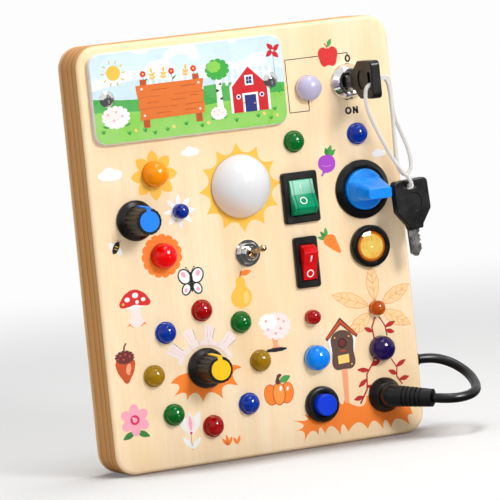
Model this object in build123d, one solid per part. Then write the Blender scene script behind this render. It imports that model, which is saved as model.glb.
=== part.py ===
from build123d import *
import os
from math import cos, radians, sin, sqrt, tan

# Wooden busy board, standing upright on its bottom edge. All sizes in mm.
# X runs along the front from left to right, Z is up, and the front looks along -Y.
# The origin is the middle of the bottom face.

# ---------------------------------------------------------------- board
BOARD_WIDTH = 200.0
BOARD_HEIGHT = 250.0
BOARD_DEPTH = 30.0
CORNER_RADIUS = 13.0        # outline corners
EDGE_RADIUS = 2.5           # softened front and back edges
FRONT_WALL = 5.0            # wood left in front of the hollow
SIDE_WALL = 12.0            # wood left around the hollow
PANEL_LEDGE = 7.0           # step that the back panel sits on
PANEL_THICKNESS = 4.0

# ---------------------------------------------------------------- clearances
GAP = 0.3                   # between pieces that only pass each other
HOLE_GAP = 0.15             # round a barrel in its hole, on the radius
RUN_GAP = 0.05              # running fit, on the radius
SEAT_GAP = 0.02             # round a piece pressed or glued in place, on the radius

# ---------------------------------------------------------------- layout of the front
FRONT_Y = -BOARD_DEPTH / 2
BACK_Y = BOARD_DEPTH / 2
RIGHT_EDGE = BOARD_WIDTH / 2
LEFT_EDGE = -BOARD_WIDTH / 2
# Columns and rows spread with the board, so that the pieces keep apart on another size.
COLUMN_A = -0.2925 * BOARD_WIDTH    # orange and red dome lamps
COLUMN_B = -0.025 * BOARD_WIDTH     # white dome and toggle
COLUMN_C = 0.1615 * BOARD_WIDTH     # rockers and lamps
COLUMN_D_INSET = 25.8
COLUMN_D = RIGHT_EDGE - COLUMN_D_INSET   # key, selector, buttons, socket
ROW_KEY = 0.8496 * BOARD_HEIGHT
ROW_LAMPS = 0.7252 * BOARD_HEIGHT
ROW_DOMES = 0.6904 * BOARD_HEIGHT   # orange dome
ROW_SELECTOR = 0.5932 * BOARD_HEIGHT
ROW_WHITE = 0.6368 * BOARD_HEIGHT
ROW_RED = 0.4992 * BOARD_HEIGHT     # red dome
ROW_TOGGLE = 0.4792 * BOARD_HEIGHT
ROW_BUTTON = 0.4568 * BOARD_HEIGHT
ROW_ROCKER = 0.4396 * BOARD_HEIGHT  # red rocker
ROW_SMALL = 0.3092 * BOARD_HEIGHT
ROW_DOME = 0.2124 * BOARD_HEIGHT
ROW_BOTTOM = 0.1012 * BOARD_HEIGHT

# ---------------------------------------------------------------- name plate
PLATE_INSET_RIGHT = 71.5
PLATE_HEIGHT = 52.6
PLATE_THICKNESS = 4.0
PLATE_CORNER = 7.0
PLATE_INSET_LEFT = 6.3
PLATE_INSET_TOP = 4.8
PLATE_SCREW_INSET = 9.2
PLATE_TO_LAMP = 8.1         # plate to the lilac lamp
WOOD_SCREW_HEAD = 4.8
WOOD_SCREW_SHANK = 1.6
WOOD_SCREW_GRIP = 4.0       # how far it bites into the wood

# ---------------------------------------------------------------- lamps
WHITE_DOME_RADIUS = 18.6
WHITE_DOME_RISE = 16.2      # flatter than half a ball
DOME_RADIUS = 7.5
DOME_COLLAR = 3.0
INDICATOR_RIM = 6.4
INDICATOR_RADIUS = 5.8
INDICATOR_COLLAR = 1.4
SMALL_RADIUS = 4.35
SMALL_COLLAR = 3.4
LENS_WALL = 1.4
LED_RADIUS = 2.5
SMALL_LED_RADIUS = 1.5
LED_HEIGHT = 8.6
LED_FLANGE = 0.5
RING_RADIUS = 34.0          # eight lamps round the rotary knob
RING_COUNT = 8
RING_OFFSET = (0.8, -0.3)   # ring's centre from the rotary knob's

# ---------------------------------------------------------------- circuit board
CIRCUIT_THICKNESS = 1.6
CIRCUIT_TO_BOX = 1.8        # circuit board to the battery box behind it
CIRCUIT_MARGIN = 3.5        # from the hollow's walls
STANDOFF_RADIUS = 2.6
STANDOFF_SCREW = 1.2
STANDOFF_INSET = 6.0

# ---------------------------------------------------------------- key switch and keys
LOCK_BEZEL_RADIUS = 10.9
LOCK_FACE_RADIUS = 8.2
LOCK_BEZEL_HEIGHT = 6.0
LOCK_BARREL_RADIUS = 8.6
LOCK_DEPTH = 15.0
ROTOR_RADIUS = 5.6
ROTOR_FACE = 4.6
KEY_WIDTH = 7.2
KEY_BLADE = 2.0
KEY_BLADE_LENGTH = 16.0
KEY_BOW_START = 10.5        # out of the front face, key fully in
KEY_BOW_LENGTH = 29.5
KEY_SHOULDER = 11.0         # length of the bow's narrowing foot
KEY_BOW_HEIGHT = 22.3
KEY_BOW_RISE = 1.2          # the bow sits a little above the blade's middle
KEY_BOW_THICKNESS = 6.0
KEY_SLOT_LENGTH = 9.5
KEY_SLOT_WIDTH = 3.4
KEY_SLOT_INSET = 4.2        # slot centre from the bow's end
KEY_DIMPLE_RADIUS = 5.9
KEY_DIMPLE_INSET = 13.5     # dimple centre from the bow's end
KEY_DIMPLE_DEPTH = 0.6
SPARE_OUT = 18.0            # the hanging key's middle, out of the front face
SPARE_BESIDE = 21.35        # string to the selector's middle, clear of its handle
SPARE_DROP = 64.8           # spare key's slot below the key switch
SPARE_SLOT_Z = ROW_KEY - SPARE_DROP
SPARE_TILT = 3.0
STRING_DIAMETER = 2.0
KNOT_RADIUS = 2.6
KNOT_FLAT = 0.7             # cut off the knot where the string enters it

# ---------------------------------------------------------------- selector
SELECTOR_BEZEL_RADIUS = 17.4
SELECTOR_BEZEL_HEIGHT = 3.2
SELECTOR_RECESS = 2.4
SELECTOR_KNOB_RADIUS = 12.1
SELECTOR_FLANGE_TOP = 6.0
SELECTOR_BARREL_RADIUS = 11.0
SELECTOR_DEPTH = 13.0
SELECTOR_STEM_RADIUS = 5.0
HANDLE_TOP = 23.5
HANDLE_FOOT = (22.6, 13.6)
HANDLE_TIP = (14.8, 6.4)
HANDLE_TIP_SHIFT = (0.8, -2.0)

# ---------------------------------------------------------------- two round knobs
KNOB_SKIRT_RADIUS = 11.8
KNOB_SKIRT_HEIGHT = 3.2
KNOB_BODY_RADIUS = 8.6
KNOB_TOP_RADIUS = 7.8
KNOB_TOP = 21.8
KNOB_FLUTES = 18
KNOB_FLUTE_RADIUS = 0.55
KNOB_LIFT = 0.5
CAP_RADIUS = 6.0
CAP_SEAT = 1.4
CAP_PROUD = 0.5
POINTER_WIDTH = 2.8
SHAFT_RADIUS = 3.0
BUSH_RADIUS = 3.6
BUSH_TOP = 6.5
KNOB_NUT_FLATS = 10.0
KNOB_NUT_HEIGHT = 2.0
DIMMER_BODY_RADIUS = 8.2
DIMMER_BODY_DEPTH = 9.0
ROTARY_BODY_RADIUS = 12.5
ROTARY_BODY_DEPTH = 11.0

# ---------------------------------------------------------------- toggle
TOGGLE_WASHER_RADIUS = 7.9
TOGGLE_WASHER_HEIGHT = 1.0
TOGGLE_NUT_FLATS = 12.0
TOGGLE_NUT_HEIGHT = 2.4
TOGGLE_BUSH_RADIUS = 4.2
TOGGLE_BUSH_TOP = 6.5
TOGGLE_PIVOT = 3.0
TOGGLE_BALL = 2.5
TOGGLE_LEVER_RADIUS = 1.5
TOGGLE_TIP_RADIUS = 2.1
TOGGLE_REACH = 22.5         # from the pivot to the tip
TOGGLE_THROW = 10.0         # degrees each side of straight out
TOGGLE_BODY = (13.0, 13.0)
TOGGLE_BODY_DEPTH = 12.0

# ---------------------------------------------------------------- rockers
ROCKER_HEIGHT = 30.0
GREEN_FRAME_WIDTH = 22.7
RED_FRAME_WIDTH = 15.0
GREEN_PADDLE_WIDTH = 14.8
RED_PADDLE_WIDTH = 8.6
ROCKER_FRAME_TOP = 3.2
ROCKER_CORNER = 1.6
ROCKER_LIP = 1.7            # frame overlap on the wood
ROCKER_BODY_DEPTH = 16.0
ROCKER_FLOOR = 1.5
PADDLE_REACH = 10.7         # pivot to the paddle's ends
PADDLE_PIVOT = 0.8
PADDLE_BELOW = 4.5
PADDLE_MIDDLE = 5.4         # above the pivot
PADDLE_DIP = 8.0            # slope of each half of the face
ROCKER_THROW = 20.0
TRUNNION_RADIUS = 1.5
TRUNNION_LENGTH = 1.2

# ---------------------------------------------------------------- push buttons
AMBER_BEZEL_RADIUS = 12.6
AMBER_BEZEL_HEIGHT = 4.2
AMBER_LENS_RADIUS = 9.0
AMBER_LENS_TOP = 4.4
AMBER_BARREL_RADIUS = 10.4
BLUE_BEZEL_RADIUS = 10.7
BLUE_BEZEL_HEIGHT = 4.0
BLUE_CAP_RADIUS = 6.5
BLUE_CAP_TOP = 8.5
BLUE_BARREL_RADIUS = 8.4
BUTTON_FLOOR = 15.0         # inner floor below the front face
BUTTON_BASE = 1.5
BUTTON_SKIRT = 6.0          # how deep the moving cap reaches
SPRING_RADIUS = 3.6
SPRING_WIRE = 0.45
SPRING_TURNS = 4

# ---------------------------------------------------------------- socket, plug and cable
SOCKET_RADIUS = 10.35
SOCKET_FACE_RADIUS = 7.4
SOCKET_HEIGHT = 6.5
SOCKET_BORE = 5.0
SOCKET_BARREL_RADIUS = 7.6
SOCKET_DEPTH = 13.0
PLUG_RADIUS = 6.6
PLUG_END_RADIUS = 5.3
PLUG_TIP_LENGTH = 15.5
PLUG_ELBOW = 9.8            # elbow centre, out of the front face
PLUG_LENGTH = 26.0          # elbow to cable
PLUG_ANGLE = 43.0           # barrel's lean towards +X
PLUG_DROOP = 0.1
PLUG_RIBS = 5
PLUG_RIB_PITCH = 2.7
PLUG_RIB_WIDTH = 1.5
CABLE_DIAMETER = 5.8
GLAND_Z = 41.5
GLAND_RADIUS = 5.2
GLAND_LENGTH = 6.0
GLAND_STEM = 3.6

# ---------------------------------------------------------------- batteries
CELL_RADIUS = 5.25
CELL_LENGTH = 44.5
CELL_COUNT = 3
CELL_PITCH = 11.4
BOX_WALL = 1.5
BOX_BOTTOM = 16.0
BOX_FLANGE = 4.0
DOOR_THICKNESS = 2.0
DOOR_TAB = 8.0
DOOR_SCREW_RADIUS = 1.3
DOOR_SCREW_HEAD = 2.6

PANEL_SCREW_HEAD = 2.6
PANEL_SCREW_SHANK = 1.3
PANEL_SCREW_LENGTH = 9.0

UP = (Align.CENTER, Align.CENTER, Align.MIN)
FACE = Plane(origin=(0, FRONT_Y, 0), x_dir=(1, 0, 0), z_dir=(0, -1, 0))
REAR = Plane(origin=(0, BACK_Y, 0), x_dir=(-1, 0, 0), z_dir=(0, 1, 0))
# Battery box from the rear: door, cells, floor. The circuit board lies in front of it.
BOX_DEPTH = DOOR_THICKNESS + 2 * GAP + 2 * CELL_RADIUS + BOX_WALL
CIRCUIT_BACK = -(BOARD_DEPTH - BOX_DEPTH - CIRCUIT_TO_BOX)
CIRCUIT_FRONT = CIRCUIT_BACK + CIRCUIT_THICKNESS

parts = {}


def keep(name, *solids):
    """One node: its solids are stored under the name of its file."""
    parts[name] = solids[0] if len(solids) == 1 else Compound(children=list(solids))


def at_front(x, z, shape, out=0.0):
    """Place a shape drawn with +Z pointing out of the front face."""
    return FACE * Pos(x, z, out) * shape


def at_rear(x, z, shape, out=0.0):
    """Place a shape drawn with +Z pointing out of the back face."""
    return REAR * Pos(-x, z, out) * shape


def rod(radius, low, high):
    return Pos(0, 0, low) * Cylinder(radius, high - low, align=UP)


def ring(outer, inner, low, high):
    return rod(outer, low, high) - rod(inner, low, high)


def brick(width, height, low, high):
    return Pos(0, 0, low) * Box(width, height, high - low, align=UP)


def turned(points):
    """A solid turned about Z from (radius, height) points."""
    outline = Polyline(*[(radius, 0, height) for radius, height in points], close=True)
    return revolve(make_face(outline), Axis.Z)


def hexagon(flats, low, high):
    return Pos(0, 0, low) * extrude(RegularPolygon(flats / sqrt(3), 6), high - low)


def dome(radius, base, rise=None):
    """Half ball, or a flatter cap, standing on the level base."""
    if rise is None:
        return Pos(0, 0, base) * Sphere(radius, arc_size1=0, align=UP)
    ball = (radius ** 2 + rise ** 2) / (2 * rise)
    return Pos(0, 0, base + rise - ball) * Sphere(ball) & rod(radius + 1, base, base + rise + 1)


# ================================================================ positions
plate_width = BOARD_WIDTH - PLATE_INSET_LEFT - PLATE_INSET_RIGHT
plate_x = LEFT_EDGE + PLATE_INSET_LEFT + plate_width / 2
plate_z = BOARD_HEIGHT - PLATE_INSET_TOP - PLATE_HEIGHT / 2
plate_screws = [(plate_x + side * (plate_width / 2 - PLATE_SCREW_INSET), plate_z) for side in (-1, 1)]
key_at = (COLUMN_D - 3.7, ROW_KEY)
lilac_at = (RIGHT_EDGE - PLATE_INSET_RIGHT + PLATE_TO_LAMP + DOME_RADIUS, ROW_KEY - 0.8)
selector_at = (COLUMN_D - 1.05, ROW_SELECTOR)
amber_button_at = (COLUMN_D + 0.1, ROW_BUTTON)
blue_button_at = (COLUMN_C + 0.9, ROW_BOTTOM)
socket_at = (COLUMN_D + 0.4, ROW_BOTTOM)
green_rocker_at = (COLUMN_C, ROW_SELECTOR)
red_rocker_at = (COLUMN_C, ROW_ROCKER)
white_dome_at = (COLUMN_B + 0.1, ROW_WHITE)
toggle_at = (COLUMN_B + 0.4, ROW_TOGGLE)
dimmer_at = (COLUMN_A - 14.8, ROW_SELECTOR - 1.1)
rotary_at = (COLUMN_A + 20.3, ROW_DOME + 3.4)
orange_at = (COLUMN_A, ROW_DOMES)
red_dome_at = (COLUMN_A + 0.3, ROW_RED)
sky_at = (COLUMN_C, ROW_DOME)
purple_at = (COLUMN_D + 1.0, ROW_DOME)
small_blue_at = (COLUMN_A + 13.6, ROW_SELECTOR + 1.0)
small_red_at = (COLUMN_C, ROW_SMALL)
small_amber_at = (COLUMN_D + 0.4, ROW_SMALL)
green_lamp_at = (COLUMN_C - 0.4, ROW_LAMPS)
blue_lamp_at = (COLUMN_D - 0.9, ROW_LAMPS)


def ring_place(index):
    """Centre of one of the eight lamps, counted clockwise from twelve o'clock."""
    turn = radians(360 / RING_COUNT * index)
    x, z = (rotary_at[0] + RING_OFFSET[0], rotary_at[1] + RING_OFFSET[1])
    return (x + RING_RADIUS * sin(turn), z + RING_RADIUS * cos(turn))


domes = {
    "white_dome_lamp": (white_dome_at, WHITE_DOME_RADIUS, 1.8),
    "orange_dome_lamp": (orange_at, DOME_RADIUS, DOME_COLLAR),
    "red_dome_lamp": (red_dome_at, DOME_RADIUS, DOME_COLLAR),
    "lilac_dome_lamp": (lilac_at, DOME_RADIUS, DOME_COLLAR),
    "sky_blue_dome_lamp": (sky_at, DOME_RADIUS, DOME_COLLAR),
    "purple_dome_lamp": (purple_at, DOME_RADIUS, DOME_COLLAR),
}
small_lamps = {
    "small_blue_lamp": small_blue_at,
    "small_red_lamp": small_red_at,
    "small_amber_lamp": small_amber_at,
}
indicators = {
    "red_indicator_lamps": [ring_place(0), ring_place(4)],
    "green_indicator_lamps": [ring_place(1), ring_place(5), green_lamp_at],
    "blue_indicator_lamps": [ring_place(3), ring_place(7), blue_lamp_at],
    "yellow_indicator_lamps": [ring_place(2), ring_place(6)],
}

# Holes are cut at the end, once every barrel that needs one is known.
wall_cuts = []
circuit_cuts = []
nuts = []


def barrel_hole(place, radius):
    """Hole through the front wall for a round barrel."""
    wall_cuts.append(at_front(*place, rod(radius + HOLE_GAP, -FRONT_WALL - 1, 1)))


def circuit_hole(place, radius):
    circuit_cuts.append(at_front(*place, rod(radius + 2 * GAP, CIRCUIT_BACK - 1, CIRCUIT_FRONT + 1)))


def panel_nut(place, barrel_radius):
    """Ring nut that clamps a barrel from inside the front wall."""
    nut = ring(barrel_radius + 2.2, barrel_radius + SEAT_GAP, -FRONT_WALL - 2.0, -FRONT_WALL)
    nuts.append(at_front(*place, nut))


# ================================================================ lamps
def lens(radius, collar, led_radius, rim=0.0, rise=None):
    """Hollow lens: dome on a collar, with a spigot that fills its hole in the wood."""
    spigot = led_radius + GAP + LENS_WALL
    outer = rod(radius, 0, collar) + dome(radius, collar, rise) + rod(spigot, -FRONT_WALL, 0)
    if rim > radius:
        outer += rod(rim, 0, collar - 0.4)
    inner = dome(radius - LENS_WALL, collar, rise and rise - LENS_WALL)
    inner += rod(radius - LENS_WALL, LENS_WALL, collar + 0.1)
    return outer - inner - rod(led_radius + GAP, -FRONT_WALL - 1, LENS_WALL + 1)


def led(radius):
    """Light on the circuit board, standing in its lens."""
    foot = CIRCUIT_FRONT
    body = rod(radius, foot, foot + LED_HEIGHT - radius) + dome(radius, foot + LED_HEIGHT - radius)
    return body + rod(radius + LED_FLANGE, foot, foot + 1.0)


leds = []
for name, (place, radius, collar) in domes.items():
    rise = WHITE_DOME_RISE - collar if name == "white_dome_lamp" else None
    keep(name, at_front(*place, lens(radius, max(collar, LENS_WALL + 0.2), LED_RADIUS, rise=rise)))
    barrel_hole(place, LED_RADIUS + GAP + LENS_WALL)
    leds.append(at_front(*place, led(LED_RADIUS)))
for name, place in small_lamps.items():
    keep(name, at_front(*place, lens(SMALL_RADIUS, SMALL_COLLAR, SMALL_LED_RADIUS)))
    barrel_hole(place, SMALL_LED_RADIUS + GAP + LENS_WALL)
    leds.append(at_front(*place, led(SMALL_LED_RADIUS)))
for name, places in indicators.items():
    shape = lens(INDICATOR_RADIUS, LENS_WALL + 0.4, LED_RADIUS, INDICATOR_RIM)
    keep(name, *[at_front(*place, shape) for place in places])
    for place in places:
        barrel_hole(place, LED_RADIUS + GAP + LENS_WALL)
        leds.append(at_front(*place, led(LED_RADIUS)))
keep("lamp_leds", *leds)

# ================================================================ name plate
plate = extrude(RectangleRounded(plate_width, PLATE_HEIGHT, PLATE_CORNER), PLATE_THICKNESS)
plate = chamfer(plate.edges().group_by(Axis.Z)[-1], 0.5)
plate = at_front(plate_x, plate_z, plate)
screws = []
for place in plate_screws:
    hole = at_front(*place, rod(WOOD_SCREW_SHANK + HOLE_GAP, -FRONT_WALL, PLATE_THICKNESS + 1))
    plate -= hole
    bite = WOOD_SCREW_SHANK + SEAT_GAP
    wall_cuts.append(at_front(*place, rod(bite, -WOOD_SCREW_GRIP - GAP, 1)))
    head_rise = 2.4
    ball_radius = (WOOD_SCREW_HEAD ** 2 + head_rise ** 2) / (2 * head_rise)
    head = Pos(0, 0, head_rise - ball_radius) * Sphere(ball_radius)
    head &= rod(WOOD_SCREW_HEAD + 1, 0, head_rise + 1)
    for turn in (0, 90):
        head -= Rot(0, 0, turn) * brick(5.2, 1.2, head_rise - 1.3, head_rise + 1)
    screw = Pos(0, 0, PLATE_THICKNESS) * head + rod(WOOD_SCREW_SHANK, -WOOD_SCREW_GRIP, PLATE_THICKNESS)
    screws.append(at_front(*place, screw))
keep("name_plate", plate)
keep("name_plate_screws", *screws)

# ================================================================ key switch
housing = turned([
    (0, -LOCK_DEPTH),
    (LOCK_BARREL_RADIUS, -LOCK_DEPTH),
    (LOCK_BARREL_RADIUS, 0),
    (LOCK_BEZEL_RADIUS, 0),
    (LOCK_BEZEL_RADIUS, 1.6),
    (LOCK_BEZEL_RADIUS - 0.5, 2.4),
    (LOCK_FACE_RADIUS, LOCK_BEZEL_HEIGHT - 0.4),
    (LOCK_FACE_RADIUS - 0.5, LOCK_BEZEL_HEIGHT),
    (ROTOR_RADIUS + 1.4, LOCK_BEZEL_HEIGHT),
    (ROTOR_RADIUS + RUN_GAP, ROTOR_FACE),
    (0, ROTOR_FACE),
])
rotor_foot = -LOCK_DEPTH + 1.5
housing -= rod(ROTOR_RADIUS + RUN_GAP, rotor_foot, ROTOR_FACE + 1)
keep("key_switch_housing", at_front(*key_at, housing))
barrel_hole(key_at, LOCK_BARREL_RADIUS)
circuit_hole(key_at, LOCK_BARREL_RADIUS)
panel_nut(key_at, LOCK_BARREL_RADIUS)

key_tip = KEY_BOW_START - KEY_BLADE_LENGTH
keyway = brick(KEY_BLADE + 2 * RUN_GAP, KEY_WIDTH + 2 * RUN_GAP, key_tip - 1.0, ROTOR_FACE + 1)
rotor = rod(ROTOR_RADIUS, rotor_foot + RUN_GAP, ROTOR_FACE) - keyway
keep("key_rotor", at_front(*key_at, rotor))

# Keys are drawn along +Z: blade below, bow above, flat sides facing X.
bow_end = KEY_BOW_START + KEY_BOW_LENGTH
slot_out = bow_end - KEY_SLOT_INSET
shoulder = KEY_BOW_START + KEY_SHOULDER
half_bow = KEY_BOW_HEIGHT / 2
bow_outline = Polyline(
    (4.4, KEY_BOW_START),
    (5.0, KEY_BOW_START + 2.5),
    (half_bow, shoulder),
    (half_bow, bow_end),
    (-half_bow, bow_end),
    (-half_bow, shoulder),
    (-5.0, KEY_BOW_START + 2.5),
    (-4.4, KEY_BOW_START),
    close=True,
)
bow_face = make_face(bow_outline)
bow_face = fillet(bow_face.vertices().group_by(Axis.Y)[-1], 3.0)
bow_face = fillet(bow_face.vertices().filter_by(lambda v: abs(v.Y - shoulder) < 0.01), 3.0)
bow = extrude(bow_face, KEY_BOW_THICKNESS / 2, both=True)
bow = fillet(bow.edges().filter_by(lambda e: abs(abs(e.center().Z) - KEY_BOW_THICKNESS / 2) < 0.01), 0.8)
slot = extrude(SlotOverall(KEY_SLOT_LENGTH, KEY_SLOT_WIDTH), KEY_BOW_THICKNESS, both=True)
bow -= Pos(0, slot_out, 0) * slot
dimple_at = bow_end - KEY_DIMPLE_INSET
for side in (-1, 1):
    dimple = Cylinder(KEY_DIMPLE_RADIUS, 2 * KEY_DIMPLE_DEPTH)
    bow -= Pos(0, dimple_at, side * KEY_BOW_THICKNESS / 2) * dimple
# The drawing's X becomes height, its Y the key's length and its Z the thickness.
TURN_KEY = Plane(origin=(0, 0, 0), x_dir=(0, 1, 0), z_dir=(1, 0, 0))
blade_seat = 6.0
bow = TURN_KEY * Pos(KEY_BOW_RISE, 0, 0) * bow
blade_end = KEY_BOW_START + blade_seat
bow -= brick(KEY_BLADE + 2 * SEAT_GAP, KEY_WIDTH + 2 * SEAT_GAP, KEY_BOW_START - 1, blade_end)

half_blade = KEY_WIDTH / 2
bite_depths = (1.2, 0.5, 1.5, 0.8, 1.3)
bite_pitch = 2.6
blade_points = [(-half_blade, blade_end), (-half_blade, key_tip + 2.0), (-1.0, key_tip), (0.6, key_tip)]
for index, depth in enumerate(bite_depths):
    level = key_tip + 2.6 + bite_pitch * index
    blade_points.append((half_blade - depth, level))
    blade_points.append((half_blade - 0.1, level + bite_pitch / 2))
blade_points.append((half_blade, blade_end))
blade = extrude(make_face(Polyline(*blade_points, close=True)), KEY_BLADE / 2, both=True)
blade = TURN_KEY * blade
for side in (-1, 1):
    groove = brick(0.6, 1.4, key_tip + 3, KEY_BOW_START - 0.5)
    blade -= Pos(side * KEY_BLADE / 2, -1.2, 0) * groove
keep("key_bow", at_front(*key_at, bow))
keep("key_blade", at_front(*key_at, blade))

spare_string_x = selector_at[0] + SPARE_BESIDE
spare_y = FRONT_Y - SPARE_OUT
HANG = Plane(origin=(spare_string_x, spare_y, SPARE_SLOT_Z), x_dir=(0, -1, 0), z_dir=(0, 0, 1))
HANG_TILT = HANG * Rot(SPARE_TILT, 0, 0)
string_offset = 0.8 - KEY_BOW_RISE      # the string sits left of the slot's middle
spare_bow = HANG_TILT * Pos(0, string_offset, -slot_out) * bow
spare_blade = HANG_TILT * Pos(0, string_offset, -slot_out) * blade
keep("spare_key_bow", spare_bow)
keep("spare_key_blade", spare_blade)

# ================================================================ key string
# One string: down to its free loop, back up through the key, then down to the spare key.
key_x, key_z = key_at
slot_y = FRONT_Y - slot_out
below_key = [
    (8.5, -0.2, 3.5), (11.8, 3.0, -2.1), (13.1, 6.0, -11.5), (15.5, 9.0, -23.1),
    (20.7, 12.6, -32.4), (24.6, 14.4, -40.8), (26.5, 15.2, -48.1), (26.2, 15.4, -54.9),
    (22.1, 15.0, -58.2), (17.7, 14.0, -54.6), (15.8, 12.4, -47.1), (14.5, 9.8, -35.3),
    (13.3, 6.6, -22.5), (11.7, 3.6, -10.5), (9.9, 1.2, -1.9), (6.7, 0.0, 2.1),
]
to_spare = [
    (-6.0, 0.4, -5.0), (-5.1, 2.4, -15.0), (0.5, 5.2, -26.8), (7.7, 8.2, -39.4), (15.6, 10.2, -52.5),
]
string_low = -1.4           # where the string lies in the key's slot, from its middle
string_route = [(key_x + 1.0, slot_y, key_z + 1.3)]
string_route += [(key_x + dx, slot_y + dy, key_z + dz) for dx, dy, dz in below_key]
string_route += [(key_x + 2.9, slot_y, key_z + string_low), (key_x - 3.4, slot_y, key_z + string_low)]
string_route += [(key_x + dx, slot_y + dy, key_z + dz) for dx, dy, dz in to_spare]
spare_front = spare_y - KEY_BOW_THICKNESS / 2
knot_front = spare_y + KEY_BOW_THICKNESS / 2 + GAP
string_route += [
    (spare_string_x - 1.6, spare_front - 4.4, SPARE_SLOT_Z + 5.0),
    (spare_string_x, spare_front - 3.2, SPARE_SLOT_Z),
    (spare_string_x, knot_front, SPARE_SLOT_Z),
]


def corner_radii(route):
    """Largest arc that each corner of the route has room for."""
    points = [Vector(*point) for point in route]
    radii = []
    for before, here, after in zip(points, points[1:], points[2:]):
        first = here - before
        second = after - here
        half_turn = radians(first.get_angle(second) / 2)
        radii.append(0.45 * min(first.length, second.length) / tan(half_turn))
    return radii


def tube(name, route, diameter):
    """Round cord along straight runs and tangent arcs."""
    radii = corner_radii(route)
    path = FilletPolyline(*route, radius=radii)
    start = Plane(origin=route[0], z_dir=Vector(*route[1]) - Vector(*route[0]))
    cord = sweep(start * Circle(diameter / 2), path=path)
    expected = path.length * Circle(diameter / 2).area
    print(name, "radii in diameters:", [round(radius / diameter, 1) for radius in radii])
    print(name, "length", round(path.length, 1), "volume ratio", round(cord.volume / expected, 4))
    return cord


keep("key_string", tube("key_string", string_route, STRING_DIAMETER))
# The knot is a ball with one flat side, where the string enters it.
knot = Sphere(KNOT_RADIUS) - Pos(0, 0, KNOT_RADIUS - KNOT_FLAT) * Box(9, 9, 9, align=UP)
knot_place = Plane(origin=(spare_string_x, knot_front, SPARE_SLOT_Z), x_dir=(1, 0, 0), z_dir=(0, -1, 0))
keep("string_knot", knot_place * Pos(0, 0, KNOT_FLAT - KNOT_RADIUS) * knot)

# ================================================================ selector
bezel_top = SELECTOR_BEZEL_HEIGHT
recess_floor = bezel_top - SELECTOR_RECESS
selector_housing = turned([
    (0, -SELECTOR_DEPTH),
    (SELECTOR_BARREL_RADIUS, -SELECTOR_DEPTH),
    (SELECTOR_BARREL_RADIUS, 0),
    (SELECTOR_BEZEL_RADIUS, 0),
    (SELECTOR_BEZEL_RADIUS, 1.0),
    (SELECTOR_BEZEL_RADIUS - 0.4, 1.4),
    (SELECTOR_BEZEL_RADIUS - 3.2, bezel_top),
    (SELECTOR_KNOB_RADIUS + 0.8, bezel_top),
    (SELECTOR_KNOB_RADIUS + GAP, bezel_top - 0.6),
    (SELECTOR_KNOB_RADIUS + GAP, recess_floor),
    (0, recess_floor),
])
stem_foot = -SELECTOR_DEPTH + 2.0
selector_housing -= rod(SELECTOR_STEM_RADIUS + RUN_GAP, stem_foot, recess_floor + 1)
keep("selector_housing", at_front(*selector_at, selector_housing))
barrel_hole(selector_at, SELECTOR_BARREL_RADIUS)
circuit_hole(selector_at, SELECTOR_BARREL_RADIUS)
panel_nut(selector_at, SELECTOR_BARREL_RADIUS)

flange_foot = recess_floor + GAP
knob = rod(SELECTOR_KNOB_RADIUS, flange_foot, SELECTOR_FLANGE_TOP - 1.2)
knob += Pos(0, 0, SELECTOR_FLANGE_TOP - 1.2) * Cone(
    SELECTOR_KNOB_RADIUS, SELECTOR_KNOB_RADIUS - 1.2, 1.2, align=UP)
for index in range(36):
    notch = Pos(SELECTOR_KNOB_RADIUS, 0, 0) * rod(0.35, flange_foot + 1.2, SELECTOR_FLANGE_TOP - 0.6)
    knob -= Rot(0, 0, 10 * index) * notch
foot = Pos(0, 0, SELECTOR_FLANGE_TOP - 0.5) * RectangleRounded(*HANDLE_FOOT, 4.0)
tip = Pos(*HANDLE_TIP_SHIFT, HANDLE_TOP) * RectangleRounded(*HANDLE_TIP, 1.6)
handle = loft([foot.face(), tip.face()])
handle = fillet(handle.edges().group_by(Axis.Z)[-1], 0.6)
knob += handle
knob += rod(SELECTOR_STEM_RADIUS, stem_foot + RUN_GAP, flange_foot)
keep("selector_knob", at_front(*selector_at, knob))


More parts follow.
